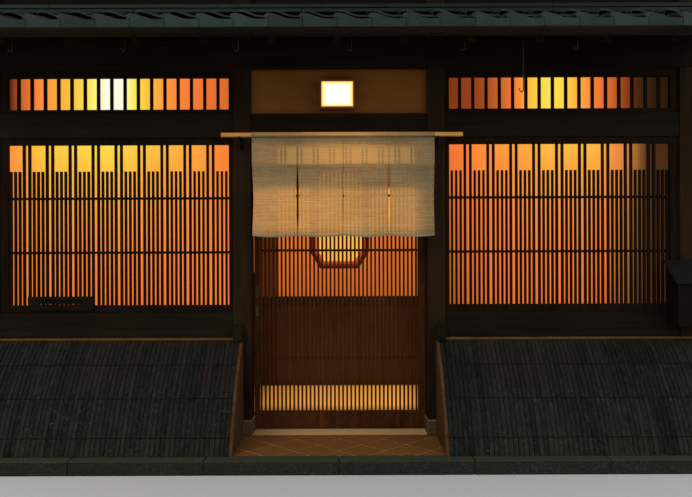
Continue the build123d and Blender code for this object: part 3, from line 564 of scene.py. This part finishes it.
# Landing paving and its mortar: their own colours, painted warmer and brighter as well for the lamp's
# light on the landing.
paving = stone("paving", (0.1, 0.041, 0.0118), (0.042, 0.018, 0.006), (0.18, 0.082, 0.027), 0.5)
mortar = plaster_wall("mortar", (0.8, 0.43, 0.15), (0.6, 0.3, 0.1))
# The ochre plaster carries painted shade under and just above the pent roof.
ochre = painted_eave_shade(plaster_wall("ochre_plaster", (0.21, 0.078, 0.017), (0.155, 0.054, 0.011)))
grey_plaster = plaster_wall("party_plaster", (0.22, 0.205, 0.17), (0.15, 0.135, 0.105))
paper = lit_paper()
old_bamboo = aged_bamboo(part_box("right_inuyarai")[0].x)
pole_bamboo = bamboo("pole_bamboo", (0.74, 0.4, 0.095), (0.44, 0.2, 0.042))
strip_bamboo = bamboo("strip_bamboo", (0.13, 0.062, 0.0125), (0.07, 0.031, 0.0065))
copper = metal("gutter_copper", (0.0118, 0.008, 0.0036), (0.0066, 0.0043, 0.002), 0.7, 0.0, drawn=0.06)
iron = metal("black_iron", (0.03, 0.022, 0.015), (0.05, 0.036, 0.024), 0.6, 0.3)
nail_iron = metal("nail_iron", (0.0045, 0.0038, 0.003), (0.009, 0.006, 0.004), 0.7, 0.2)
brass = metal("lock_brass", (0.13, 0.08, 0.034), (0.055, 0.036, 0.02), 0.4)
frame_metal = metal("lamp_frame", (0.19, 0.066, 0.012), (0.14, 0.048, 0.009), 0.5, 0.1)
meter_paint = metal("meter_paint", (0.0036, 0.0026, 0.0016), (0.0058, 0.004, 0.0022), 0.6, 0.0)
lid_paint = metal("meter_lid_paint", (0.0068, 0.0066, 0.006), (0.005, 0.0047, 0.0042), 0.5, 0.0)
cloth_linen = linen("noren_linen", (0.225, 0.183, 0.095), 0.6, glow=0.8)
hem_linen = linen("noren_hem_linen", (0.2, 0.215, 0.145), 0.95)


def inner_plaster():
    """Wall of the entrance room, lit from above down to about waist height."""
    s = plaster_wall("inner_plaster", (0.1, 0.045, 0.015), (0.08, 0.034, 0.011))
    light = s.ramp(s.height(0.8, 2.8), [
        (0.0, (0.012, 0.005, 0.002)),
        (0.055, (0.016, 0.006, 0.002)),
        (0.075, (0.62, 0.125, 0.024)),
        (0.2, (0.7, 0.15, 0.029)),
        (0.4, (0.77, 0.175, 0.033)),
        (0.43, (0.95, 0.38, 0.065)),
        (0.64, (0.95, 0.38, 0.065)),
        (0.66, (0.2, 0.05, 0.01)),
        (0.75, (0.2, 0.05, 0.01)),
        (0.77, (0.95, 0.48, 0.11)),
        (0.86, (0.95, 0.48, 0.11)),
        (0.88, (0.1, 0.03, 0.007)),
    ])
    corner = s.ramp(s.along("X", -0.72, -0.62), [(0.3, 0.1), (0.6, 1.0)])
    light = s.mix(1.0, light, corner, "MULTIPLY")
    return s.glow(light, 0.95)


def room_floor():
    """Washed gravel set in mortar, lit in the middle of the entrance room."""
    s = stone("room_floor", (0.13, 0.085, 0.045), (0.045, 0.03, 0.018), (0.34, 0.26, 0.17))
    depth = s.along("Y", front + 0.3, front + 2.1)
    back = s.ramp(depth, [(0.25, 0.0), (0.45, 1.0), (0.95, 0.8), (0.99, 0.0)])
    across = s.along("X", -0.95, 0.95)
    side = s.ramp(across, [(0.0, 0.0), (0.12, 0.6), (0.3, 0.85), (0.8, 1.0), (0.98, 0.4), (1.0, 0.0)])
    light = s.mix(1.0, s.times(back, side), (0.9, 0.37, 0.068), "MULTIPLY")
    return s.glow(light, 1.0)


def window_paper():
    """The inner window's paper, yellow where the lamp behind it is near."""
    s = Shader("inner_window_paper")
    fibre = s.noise(50, 5, 0.7)
    hue = s.ramp(fibre, [(0.3, (0.98, 0.43, 0.058)), (0.7, (1.0, 0.54, 0.072))])
    above = s.ramp(s.height(1.5, 1.9), [(0.2, 1.0), (0.8, 0.6)])
    hue = s.mix(1.0, hue, above, "MULTIPLY")
    return s.coat((0.1, 0.05, 0.015, 1), 0.9, 0.1).glow(hue, 1.0)


def lacquer():
    """Red-brown lacquer, glowing beside the window's paper and dark at its outer edge."""
    s = Shader("red_lacquer")
    low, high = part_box("inner_window_frame")
    centre = (low + high) / 2
    half = (high - low) / 2
    corner_x, corner_z = 0.112, 0.182
    cut = Vector((corner_z, corner_x)).normalized()
    reach = cut.x * (half.x - corner_x) + cut.y * half.z
    across = s.off("X", centre.x)
    up = s.off("Z", centre.z)
    square = s.maths(
        "MAXIMUM", s.maths("SUBTRACT", across, half.x), s.maths("SUBTRACT", up, half.z)
    )
    corner = s.total((across, cut.x), (up, cut.y), (reach, -1.0))
    inward = s.times(s.maths("MAXIMUM", square, corner), -10.0)
    light = s.ramp(inward, [
        (0.1, (0.02, 0.006, 0.002)),
        (0.35, (0.11, 0.014, 0.004)),
        (0.5, (0.38, 0.042, 0.01)),
        (0.78, (0.76, 0.095, 0.022)),
    ])
    cloud = s.noise(14, 4, 0.6)
    red = s.ramp(cloud, [(0.3, (0.09, 0.014, 0.006)), (0.7, (0.14, 0.02, 0.008))])
    return s.coat(red, 0.4, 0.2).glow(light, 0.9).bump(cloud, 0.1, 0.0008)


# The frame's own pieces
lit_glass = lamp_paper(*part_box("wall_lamp_glass"))
for names, shader, bevel in (
    ("posts door_jambs", post_wood, 0.004),
    ("wall_beams long_beams door_head door_guides inuyarai_end_blocks", beam_wood, 0.004),
    ("left_window_lattice right_window_lattice transom_lattices", bar_wood, 0.0012),
    ("plain_window_lattices", bar_wood, 0.002),
    ("mail_slot", beam_wood, 0.0015),
    ("door_stiles door_rails door_lattice", lamp_lit_door_wood, 0.001),
    ("door_locks", brass, 0.001),
    ("door_track", iron, 0.001),
    ("rafters verge_boards", eave_wood, 0.003),
    ("roof_boards", eave_wood, 0.0),
    ("purlins", purlin_wood, 0.004),
    ("upper_floor", purlin_wood, 0.0),
    ("inuyarai_ends", lamp_lit_end_wood, 0.002),
    ("plaster_panels", ochre, 0.0),
    ("party_walls", grey_plaster, 0.0),
    ("paper_screens", paper, 0.0),
    ("front_footings", granite, 0.004),
    ("threshold_stone", lamp_lit_pale_stone, 0.003),
    ("base_stones", warm_stone, 0.008),
    ("ground_floor", room_floor(), 0.0),
    ("gutter_brackets", copper, 0.001),
    ("noren_brackets", nail_iron, 0.0015),
    ("wall_lamp", frame_metal, 0.002),
    ("wall_lamp_glass", lit_glass, 0.004),
    ("meter_box", meter_paint, 0.003),
    ("meter_box_lid", lid_paint, 0.002),
    ("inner_wall", inner_plaster(), 0.0),
    ("inner_window_frame", lacquer(), 0.003),
    ("inner_window_screen", window_paper(), 0.0),
):
    for name in names.split():
        dress(name, shader, bevel)
dress("gutters", copper, smooth=40)
dress("eave_hooks", iron, smooth=50)


# Roof tiles: the outline of one tile's end, from the joint round its roll to the next joint.
# Each point is (share of the tile's width, height above its trough in metres).
tile_outline = (
    (0.0, 0.006), (-0.085, 0.006), (-0.112, 0.014), (-0.112, 0.024), (-0.09, 0.033), (-0.05, 0.0385),
    (0.01, 0.04), (0.08, 0.0395), (0.15, 0.0365), (0.24, 0.03), (0.34, 0.0205), (0.44, 0.0115),
    (0.54, 0.0045), (0.64, 0.001), (0.76, 0.0), (0.9, 0.001), (1.0, 0.0025),
)


def tile_field(name, low_edge, high_edge, slope, thickness, rows, shader, lifts=()):
    """Courses of tiles on a slope and on the one behind it, each seated on the last.

    The low edge is (distance in front of the middle, height of the boards there), the high edge a
    distance. Lifts raise the lower ends of the first courses, whose tiles are then thin.
    """
    field = Solid()
    run = (low_edge[0] - high_edge) / rows
    body = thickness - tile_crest
    rand = random.Random(7)
    for side in (1, -1):
        for row in range(rows):
            near = low_edge[0] - row * run
            base = low_edge[1] + row * run * slope
            raised = lifts[row] if row < len(lifts) else 0.0
            trough = (base + body + raised, base + run * slope + body)
            for column in range(tile_columns):
                left = -roof_end + column * tile_width
                at_end = column in (0, tile_columns - 1)
                jog = 0.0 if row == 0 else rand.uniform(-0.002, 0.002)
                drop = body if row == 0 or at_end else tile_step
                reach = (near + jog, near - run)
                tile(field, side, left, reach, trough, drop, thin=raised > 0 and not at_end)
    return field.make(name, shader, smooth=40)


def tile(field, side, left, reach, trough, drop, thin=False):
    """One tile: its outline at its lower end, carried up the slope to its upper end.

    A thin tile's underside follows its top; another's is flat, as far below as drop.
    On the rear slope, side is -1 and turns it half round.
    """
    rings = []
    for y, z in zip(reach, (trough[0], trough[1] - tile_step)):
        ring = []
        for u, height in tile_outline:
            x = left + u * tile_width - (tile_joint if u == 1.0 else 0.0)
            ring.append((min(max(x, -roof_end), roof_end), -y, z + height))
        if thin:
            ring.extend([(x, y_below, top - tile_lip) for x, y_below, top in reversed(ring)])
        else:
            ring.append((ring[-1][0], -y, z - drop))
            ring.append((ring[0][0], -y, z - drop))
        rings.append([(x * side, y * side, z) for x, y, z in ring])
    field.skin(rings)


pent_low, pent_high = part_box("pent_tiles")
pent_reach = front - pent_low.y
pent_eave = -pent_low.y
# Tiles further up the pent roof than the second course's lips get painted shade.
pent_clay = roof_tile(
    "pent_tile_clay",
    (tile_width, 0.233, uncut),
    (-roof_end, pent_low.y, 0),
    shaded_band=(pent_eave - 0.245, pent_eave - 0.265),
)
tiles = tile_field(
    "pent_roof_tiles",
    (pent_eave, pent_low.z),
    -front,
    pent_slope,
    pent_high.z - pent_low.z - pent_reach * pent_slope,
    3,
    pent_clay,
    lifts=(0.0, 0.022, 0.012),
)
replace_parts(tiles, "pent_tiles")

main_low, main_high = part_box("main_tiles")
ridge_gap = 0.001
tiles = tile_field(
    "main_roof_tiles",
    (-main_low.y, main_low.z),
    0.02,
    main_slope,
    main_high.z - main_low.z + (main_low.y + ridge_gap) * main_slope,
    round(-main_low.y / tile_course),
    roof_tile("main_tile_clay", (tile_width, 0.234, uncut), (-roof_end, main_low.y, 0)),
)
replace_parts(tiles, "main_tiles")


# Flat tiles in courses, with joints staggered from one course to the next
flat_tile = 0.2555
long_tile = 1.2775
flat_joint = 0.003
ridge_clay = roof_tile("ridge_tile_clay", (flat_tile, uncut, 0.035), (-roof_end, 0, 0))
long_clay = roof_tile("long_tile_clay", (long_tile, uncut, 0.035), (-roof_end, 0, 0), 0.55)


def flat_course(solid, outline, left, right, stagger, side=1, length=flat_tile):
    """Flat tiles end to end over an outline in the YZ plane."""
    x = left - (length / 2 if stagger else 0)
    while x < right - flat_joint:
        near = max(x, left) + (flat_joint / 2 if x > left else 0)
        far = min(x + length, right) - flat_joint / 2
        if far - near > 0.01:
            solid.prism([(y * side, z) for y, z in outline], near, far)
        x += length


# Noshi: two courses of long flat tiles against the wall over the pent roof
noshi = Solid()
noshi_low, noshi_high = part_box("pent_ridge")
noshi_reach = front - noshi_low.y
noshi_bed = 0.004
course = (noshi_high.z - noshi_low.z - noshi_reach * pent_slope) / 2
for level in (0, 1):
    inset = 0.014 * level
    foot = noshi_low.z + level * course + inset * pent_slope
    rise = (noshi_reach - inset) * pent_slope
    outline = [
        (noshi_low.y + inset, foot + noshi_bed),
        (front, foot + noshi_bed + rise),
        (front, foot + course + rise),
        (noshi_low.y + inset, foot + course - 0.003),
    ]
    for side in (1, -1):
        flat_course(noshi, outline, -roof_end, roof_end, level == 1, side, long_tile)
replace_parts(noshi.make("pent_ridge_tiles", long_clay, bevel=0.003), "pent_ridge")

# Ridge: courses under round cap tiles
ridge = Solid()
ridge_low, ridge_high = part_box("main_ridge")
ridge_courses = 5
ridge_course = 0.055
ridge_step = 0.014
course_joint = 0.012
cap_radius = 0.085
cap_count = 23
cap_sunk = 0.004
cap_pitch = (ridge_high.x - ridge_low.x) / cap_count
cap_seat = ridge_high.z - cap_radius
for level in range(ridge_courses):
    half = ridge_high.y - level * ridge_step
    top = cap_seat - (ridge_courses - 1 - level) * ridge_course
    low = top - ridge_course
    if level == 0:
        crest = top - course_joint
        outline = [(-half, ridge_low.z), (0, low), (half, ridge_low.z), (half, crest), (-half, crest)]
    else:
        core = half - 0.018
        ridge.box((ridge_low.x, -core, low - course_joint), (ridge_high.x, core, top - 0.016))
        crest = top - 0.004
        outline = [(-half, low + 0.03), (half, low + 0.03), (half, crest), (-half, crest)]
    flat_course(ridge, outline, ridge_low.x, ridge_high.x, level % 2 == 1)
for n in range(cap_count):
    left = ridge_low.x + n * cap_pitch
    rings = []
    for share, size in ((0.0, 1.0), (0.1, 1.0), (0.12, 0.9), (1.0, 0.88)):
        ring = []
        for k in range(13):
            out = math.cos(math.pi * k / 12) * cap_radius * size
            up = math.sin(math.pi * k / 12) * cap_radius * size
            ring.append((left + share * cap_pitch, out, cap_seat - cap_sunk + up))
        rings.append(ring)
    ridge.skin(rings)
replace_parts(ridge.make("main_ridge_tiles", ridge_clay, smooth=35), "main_ridge")
dress("ridge_ends", ridge_clay, 0.01)


# Curved fences of split bamboo: slats nailed to three battens, with a wire over each row
fence_low, fence_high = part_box("right_inuyarai")
slat_rise = 0.004
slat_body = 0.006
fence_bulge = 0.06
fence_lip = 0.012
fence_skin = 0.022
batten_rows = (0.14, 0.45, 0.75)
batten_half = 0.02
wire_half = 0.0028
slat_section = (
    (-0.5, 0.0), (-0.46, 0.45), (-0.25, 0.85), (0.0, 1.0), (0.25, 0.85), (0.46, 0.45), (0.5, 0.0)
)


def fence_arc(inset, shares):
    """Points and outward directions at shares of the fence's curve, from foot to top."""
    foot = Vector((fence_low.y, fence_low.z))
    top = Vector((fence_high.y - fence_lip, fence_high.z))
    chord = top - foot
    out = Vector((-chord.y, chord.x)).normalized()
    radius = (chord.length**2 / 4 + fence_bulge**2) / (2 * fence_bulge)
    centre = (foot + top) / 2 + out * (fence_bulge - radius)
    start, stop = (math.atan2(p.y - centre.y, p.x - centre.x) % math.tau for p in (foot, top))
    found = []
    for share in shares:
        angle = start + (stop - start) * share
        way = Vector((math.cos(angle), math.sin(angle)))
        found.append((centre + way * (radius - inset), way))
    return found


def slat(solid, side, middle, width, rand):
    """One slat: bowed across, bent along the fence's curve, with two knots."""
    proud = rand.uniform(-0.0025, 0.0)
    short = rand.uniform(0.0, 0.005)
    lean = rand.uniform(-0.0012, 0.0012)
    knots = [rand.uniform(0.18, 0.38), rand.uniform(0.5, 0.85)]
    shares = sorted([n / 12 for n in range(13)] + [k + s for k in knots for s in (-0.008, 0, 0.008)])
    rings = []
    for share, (point, way) in zip(shares, fence_arc(slat_rise, shares)):
        knot = 0.0012 if share in knots else 0.0
        if share == 0:
            point = point + Vector((0, short))
        ring = []
        for u, height in slat_section:
            y, z = point + way * min(proud + height * slat_rise + knot * height, slat_rise)
            ring.append(((middle + u * width + lean * (share - 0.5)) * side, y, z))
        for u in (0.5, -0.5):
            y, z = point - way * slat_body
            ring.append(((middle + u * width) * side, y, z))
        rings.append(ring)
    solid.skin(rings)


def strip_along(solid, side, point, way, half, first, last):
    """A strip the length of the fence, between two distances out from a point of its curve."""
    tangent = Vector((-way.y, way.x))
    corners = []
    for u, v in ((-half, first), (half, first), (half, last), (-half, last)):
        y, z = point + tangent * u + way * v
        corners.append((min(y, fence_high.y), z))
    solid.prism(corners, fence_low.x * side, fence_high.x * side)


def fence(side):
    """One fence's slats, battens, nails and wires, on the right or mirrored to the left."""
    slats = Solid()
    metalwork = Solid()
    rand = random.Random(11 + side)
    count = round((fence_high.x - fence_low.x) / slat_width)
    pitch = (fence_high.x - fence_low.x) / count
    rows = fence_arc(slat_rise, batten_rows)
    for n in range(count):
        middle = fence_low.x + (n + 0.5) * pitch
        slat(slats, side, middle, pitch - rand.uniform(0.002, 0.0048), rand)
        for point, way in rows:
            y, z = point + way * slat_rise * 0.6
            nail(metalwork, ((middle + rand.uniform(-0.004, 0.004)) * side, y, z), way)
    for point, way in rows:
        strip_along(slats, side, point, way, batten_half, -fence_skin, -slat_body)
        strip_along(metalwork, side, point, way, wire_half, slat_rise, 0.0)
    word = "right" if side > 0 else "left"
    piece = slats.make(f"{word}_fence_slats", old_bamboo, smooth=45)
    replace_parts(piece, f"{word}_inuyarai")
    metalwork.make(f"{word}_fence_nails", nail_iron, smooth=60)


def nail(solid, at, way):
    """A small round nail head that stands a little proud of the slat."""
    x, y, z = at
    tangent = Vector((-way.y, way.x))
    rings = []
    for radius, lift in ((0.0022, -0.001), (0.0022, 0.0004), (0.001, 0.001)):
        ring = []
        for k in range(6):
            angle = math.pi * k / 3
            dy, dz = tangent * math.sin(angle) * radius + way * lift
            ring.append((x + math.cos(angle) * radius, y + dy, z + dz))
        rings.append(ring)
    solid.skin(rings)


fence(1)
fence(-1)


# Pole of the noren: a round bamboo with a swelling and a groove at each knot
pole_low, pole_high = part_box("noren_pole")
pole_centre = ((pole_low.y + pole_high.y) / 2, (pole_low.z + pole_high.z) / 2)
pole_radius = (pole_high.z - pole_low.z) / 2
pole_sides = 20
knot_shape = ((-0.012, 0.965), (-0.004, 0.99), (-0.0015, 1.0), (0.0015, 0.955), (0.004, 0.99))
stations = [(pole_low.x, 0.93), (pole_low.x + 0.004, 0.955)]
stations += [(pole_high.x - 0.004, 0.955), (pole_high.x, 0.93)]
for knot in (-0.845, -0.52, -0.19, 0.15, 0.5, 0.86):
    stations += [(knot + shift, size) for shift, size in knot_shape]
pole = Solid()
rings = []
for x, size in sorted(stations):
    ring = []
    for k in range(pole_sides):
        y = pole_centre[0] + math.cos(math.tau * k / pole_sides) * pole_radius * size
        ring.append((x, y, pole_centre[1] + math.sin(math.tau * k / pole_sides) * pole_radius * size))
    rings.append(ring)
pole.skin(rings)
piece = pole.make("noren_bamboo_pole", pole_bamboo, smooth=50)
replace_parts(piece, "noren_pole")

# Gold bamboo strips along the tops of the fences
strip_low, strip_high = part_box("bamboo_strips")
strip_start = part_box("inuyarai_end_blocks")[1].x + 0.004
strips = Solid()
strip_half = (strip_high.z - strip_low.z) / 2
strip_depth = strip_high.y - strip_low.y
strip_knots = [strip_start + 0.17 + 0.33 * n for n in range(6)]
stations = [(strip_start, 1.0), (strip_high.x, 1.0)]
for knot in strip_knots:
    stations += [(knot - 0.005, 0.92), (knot, 1.0), (knot + 0.005, 0.92)]
for side in (1, -1):
    rings = []
    for x, size in sorted(stations):
        ring = []
        for a in range(9):
            out = math.sin(math.pi * a / 8) * strip_depth * size
            up = math.cos(math.pi * a / 8) * strip_half * size
            ring.append((x * side, strip_high.y - out, strip_low.z + strip_half - up))
        rings.append(ring)
    strips.skin(rings)
piece = strips.make("bamboo_cover_strips", strip_bamboo, smooth=50)
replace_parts(piece, "bamboo_strips")


# Noren: one cloth, sewn at its top and slit below, with a sleeve round the pole
noren_low, noren_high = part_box("noren")
noren_width = noren_high.x - noren_low.x
sleeve_radius = pole_radius + 0.0012
slit_top = landing + 2.105
panels = 4
panel_width = noren_width / panels
across_steps = 14
down_steps = 30
slit_half = 0.0016
hem_rise = 0.011
pulls = ((0.0105, 0.009), (0.01, 0.003), (0.004, 0.007), (0.006, 0.006))  # edges, at mid height
seam = pole_centre[1] - sleeve_radius - 0.002


def noren_point(panel, u, z):
    """Where a point of one panel hangs: u runs across it, z is its height."""
    fall = max(0.0, (slit_top - z) / (slit_top - noren_low.z))
    belly = math.sin(math.pi * min(1.0, fall * 1.04)) ** 1.3
    open_by = slit_half if fall > 0 else 0.0
    left, right = (pull * belly + open_by for pull in pulls[panel])
    x = noren_low.x + (panel + u) * panel_width + left * (1 - u) ** 2 - right * u**2
    hang = (pole_centre[1] - z) / (pole_centre[1] - noren_low.z)
    phase = panel * 1.7
    fold = 0.01 * hang * math.sin(math.tau * (u * 1.15 + 0.2) + phase)
    fold += 0.0045 * hang * math.sin(math.tau * u * 2.7 + phase * 2.1 + 3 * hang)
    curl = 0.01 * belly * ((1 - u) ** 6 + u**6)
    return x, pole_centre[0] + fold - curl


def noren_row(panel, share):
    """Points across a panel, at a share of the way from the seam under the pole to the hem."""
    row = []
    for i in range(across_steps + 1):
        u = i / across_steps
        hem = noren_low.z + hem_rise * (2 * u - 1) ** 2  # higher at a panel's corners
        z = seam + (hem - seam) * share
        x, y = noren_point(panel, u, z)
        row.append((x, y, z))
    return row


def noren_grid(panel):
    """Rows of one panel's points: once round the pole, then down to the hem."""
    top = noren_row(panel, 0.0)
    grid = []
    for a in range(17):
        angle = -math.pi / 2 - math.pi * a / 8
        y = pole_centre[0] + math.cos(angle) * sleeve_radius
        z = pole_centre[1] + math.sin(angle) * sleeve_radius
        grid.append([(x, y, z) for x, _, _ in top])
    return grid + [noren_row(panel, (b + 1) / down_steps) for b in range(down_steps)]


cloth = Solid()
for panel in range(panels):
    cloth.skin(noren_grid(panel), solid=False)
piece = placed("noren_cloth", cloth.points, cloth.faces, cloth_linen)
rounded(piece.data)
join = piece.modifiers.new("sewn", "WELD")
join.merge_threshold = 0.0004
thread = piece.modifiers.new("thickness", "SOLIDIFY")
thread.thickness = 0.0009
thread.offset = 0
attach(piece, "house")
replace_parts(piece, "noren")

# Hems and seams of the noren
hems = Solid()
hem_depth = 0.012
cloth_half = 0.0011
for panel in range(panels):
    row = noren_row(panel, 1.0)
    corners = ((0.0, cloth_half), (hem_depth, cloth_half), (hem_depth, -cloth_half), (0.0, -cloth_half))
    rings = [[(x, y + out, z + lift) for x, y, z in row] for lift, out in corners]
    hems.skin([*rings, rings[0]], solid=False)
seam_half = 0.003
seam_rise = 0.0012
for seam_at in range(1, panels):
    x = noren_low.x + seam_at * panel_width
    top = pole_centre[1] - sleeve_radius - 0.003
    rows = []
    for step in range(9):
        z = top + (slit_top - 0.004 - top) * step / 8
        _, y = noren_point(seam_at, 0.0, z)
        left, right = x - seam_half, x + seam_half
        near, far = y - seam_rise, y + seam_rise
        rows.append([(left, near, z), (right, near, z), (right, far, z), (left, far, z)])
    hems.skin(rows)
hem_piece = hems.make("noren_hems", hem_linen, smooth=60)

# Granite kerb in separate stones
kerb_low, kerb_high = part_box("granite_kerb")
kerb = Solid()
kerb_joint = 0.0015
stones = round((kerb_high.x - kerb_low.x) / kerb_stone)
length = (kerb_high.x - kerb_low.x) / stones
for n in range(stones):
    left = kerb_low.x + n * length + kerb_joint
    right = left + length - 2 * kerb_joint
    kerb.box((left, kerb_low.y, kerb_low.z), (right, kerb_high.y, kerb_high.z))
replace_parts(kerb.make("kerb_stones", granite, bevel=0.006), "granite_kerb")

# Landing: square tiles laid diagonally in pale mortar
floor_low, floor_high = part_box("entrance_landing")
bed = Solid()
bed.box(floor_low, (floor_high.x, floor_high.y, floor_high.z - 0.003))
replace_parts(bed.make("landing_bed", mortar), "entrance_landing")


def clipped(polygon, axis, limit, keep_above):
    """A polygon cut off along one axis at a limit."""
    kept = []
    for i, here in enumerate(polygon):
        there = polygon[(i + 1) % len(polygon)]
        inside = (here[axis] > limit) == keep_above
        if inside:
            kept.append(here)
        if inside != ((there[axis] > limit) == keep_above):
            share = (limit - here[axis]) / (there[axis] - here[axis])
            kept.append(tuple(a + (b - a) * share for a, b in zip(here, there)))
    return kept


def landing_tile(solid, x, y, half_diagonal):
    """One tile of the landing about a point, cut off at the landing's edges."""
    ways = ((-1, 0), (0, -1), (1, 0), (0, 1))
    shape = [(x + a * half_diagonal, y + b * half_diagonal) for a, b in ways]
    edge = 0.001
    for axis in (0, 1):
        for limit, keep_above in ((floor_low[axis] + edge, True), (floor_high[axis] - edge, False)):
            shape = clipped(shape, axis, limit, keep_above) if len(shape) > 2 else []
    if len(shape) > 2:
        rings = [[(a, b, z) for a, b in shape] for z in (floor_high.z - 0.012, floor_high.z)]
        solid.skin(rings)


slabs = Solid()
paving_joint = 0.01
paving_start = (0.162, -4.525)  # where two joints cross
half_diagonal = (paving_side - paving_joint) / math.sqrt(2)
grid_step = paving_side * math.sqrt(2)
for i in range(-8, 9):
    for j in range(-5, 6):
        for shift in (0.0, 0.5):
            x = paving_start[0] + (i + shift + 0.5) * grid_step
            y = paving_start[1] + (j + shift) * grid_step
            landing_tile(slabs, x, y, half_diagonal)
slabs.make("landing_tiles", paving, bevel=0.001)

# Rear door of upright boards on ledges
back_low, back_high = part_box("rear_door")
boards = Solid()
board_count = 9
board_face = back_high.y - 0.012
board_back = back_high.y - 0.026
board_joint = 0.001
width = (back_high.x - back_low.x) / board_count
for n in range(board_count):
    left = back_low.x + n * width + board_joint
    right = left + width - 2 * board_joint
    boards.box((left, board_back, back_low.z), (right, board_face, back_high.z))
for z in (0.18, 1.1, 2.05):
    boards.box((back_low.x, board_face, landing + z), (back_high.x, back_high.y, landing + z + 0.11))
boards.box(back_low, (back_high.x, board_back, back_high.z))
piece = boards.make("rear_door_boards", lamp_lit_door_wood, bevel=0.0015)
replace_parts(piece, "rear_door")

# Mail flap inside its slot
slot_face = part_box("mail_slot")[0].y
flap_left, flap_right = -2.345, -2.017
flap = Solid()
for near, far, low, high in ((0.006, 0.01, 1.031, 1.057), (0.002, 0.009, 1.0565, 1.0595)):
    flap.box((flap_left, slot_face + near, landing + low), (flap_right, slot_face + far, landing + high))
flap.make("mail_flap", nail_iron, bevel=0.0008)

# Floor, light and camera
floor_half = 60.0
corners = [(floor_half * x, floor_half * y, 0) for x, y in ((-1, -1), (1, -1), (1, 1), (-1, 1))]
pale = Shader("pale_floor").coat((0.62, 0.62, 0.6, 1), 0.9)
placed("floor", corners, [(0, 1, 2, 3)], pale)

world = bpy.data.worlds.new("studio")
scene.world = world
world.use_nodes = True
tree = world.node_tree
tree.nodes.clear()


def sky(colour, strength):
    """A plain background of the world."""
    made = tree.nodes.new("ShaderNodeBackground")
    made.inputs["Color"].default_value = (*colour, 1)
    made.inputs["Strength"].default_value = strength
    return made.outputs[0]


def either(a, b):
    """1 for a ray of either kind."""
    made = tree.nodes.new("ShaderNodeMath")
    made.operation = "MAXIMUM"
    tree.links.new(a, made.inputs[0])
    tree.links.new(b, made.inputs[1])
    return made.outputs[0]


rays = tree.nodes.new("ShaderNodeLightPath").outputs
seen = either(either(rays["Is Camera Ray"], rays["Is Glossy Ray"]), rays["Is Transmission Ray"])
blend = tree.nodes.new("ShaderNodeMixShader")
output = tree.nodes.new("ShaderNodeOutputWorld")
tree.links.new(seen, blend.inputs["Fac"])
tree.links.new(sky((0.93, 0.96, 1.0), 0.55), blend.inputs[1])
tree.links.new(sky((0.94, 0.95, 0.95), 1.0), blend.inputs[2])
tree.links.new(blend.outputs[0], output.inputs["Surface"])


def soft_light(name, place, aim, size, power, colour):
    """A square lamp turned towards a point."""
    data = bpy.data.lights.new(name, "AREA")
    data.size = size
    data.energy = power
    data.color = colour
    lamp = added(name, data)
    lamp.location = place
    lamp.rotation_mode = "QUATERNION"
    lamp.rotation_quaternion = (Vector(aim) - Vector(place)).to_track_quat("-Z", "Y")


soft_light("key", (-6.5, -13.0, 9.5), (0, -4, 2), 7.0, 620, (1.0, 0.98, 0.94))
soft_light("fill", (8.0, -11.0, 5.0), (0, -4, 2), 7.0, 260, (0.94, 0.97, 1.0))
soft_light("back", (2.0, 16.0, 12.0), (0, 3, 3), 8.0, 650, (1.0, 0.98, 0.95))

camera_data = bpy.data.cameras.new("camera")
camera_data.lens = 37.4
camera_data.clip_end = 300.0
camera = added("camera", camera_data)
camera.location = (0.0526, -9.54, 1.557)
camera.rotation_euler = (math.pi / 2, math.radians(0.2), 0)
scene.camera = camera
scene.view_settings.view_transform = "Standard"
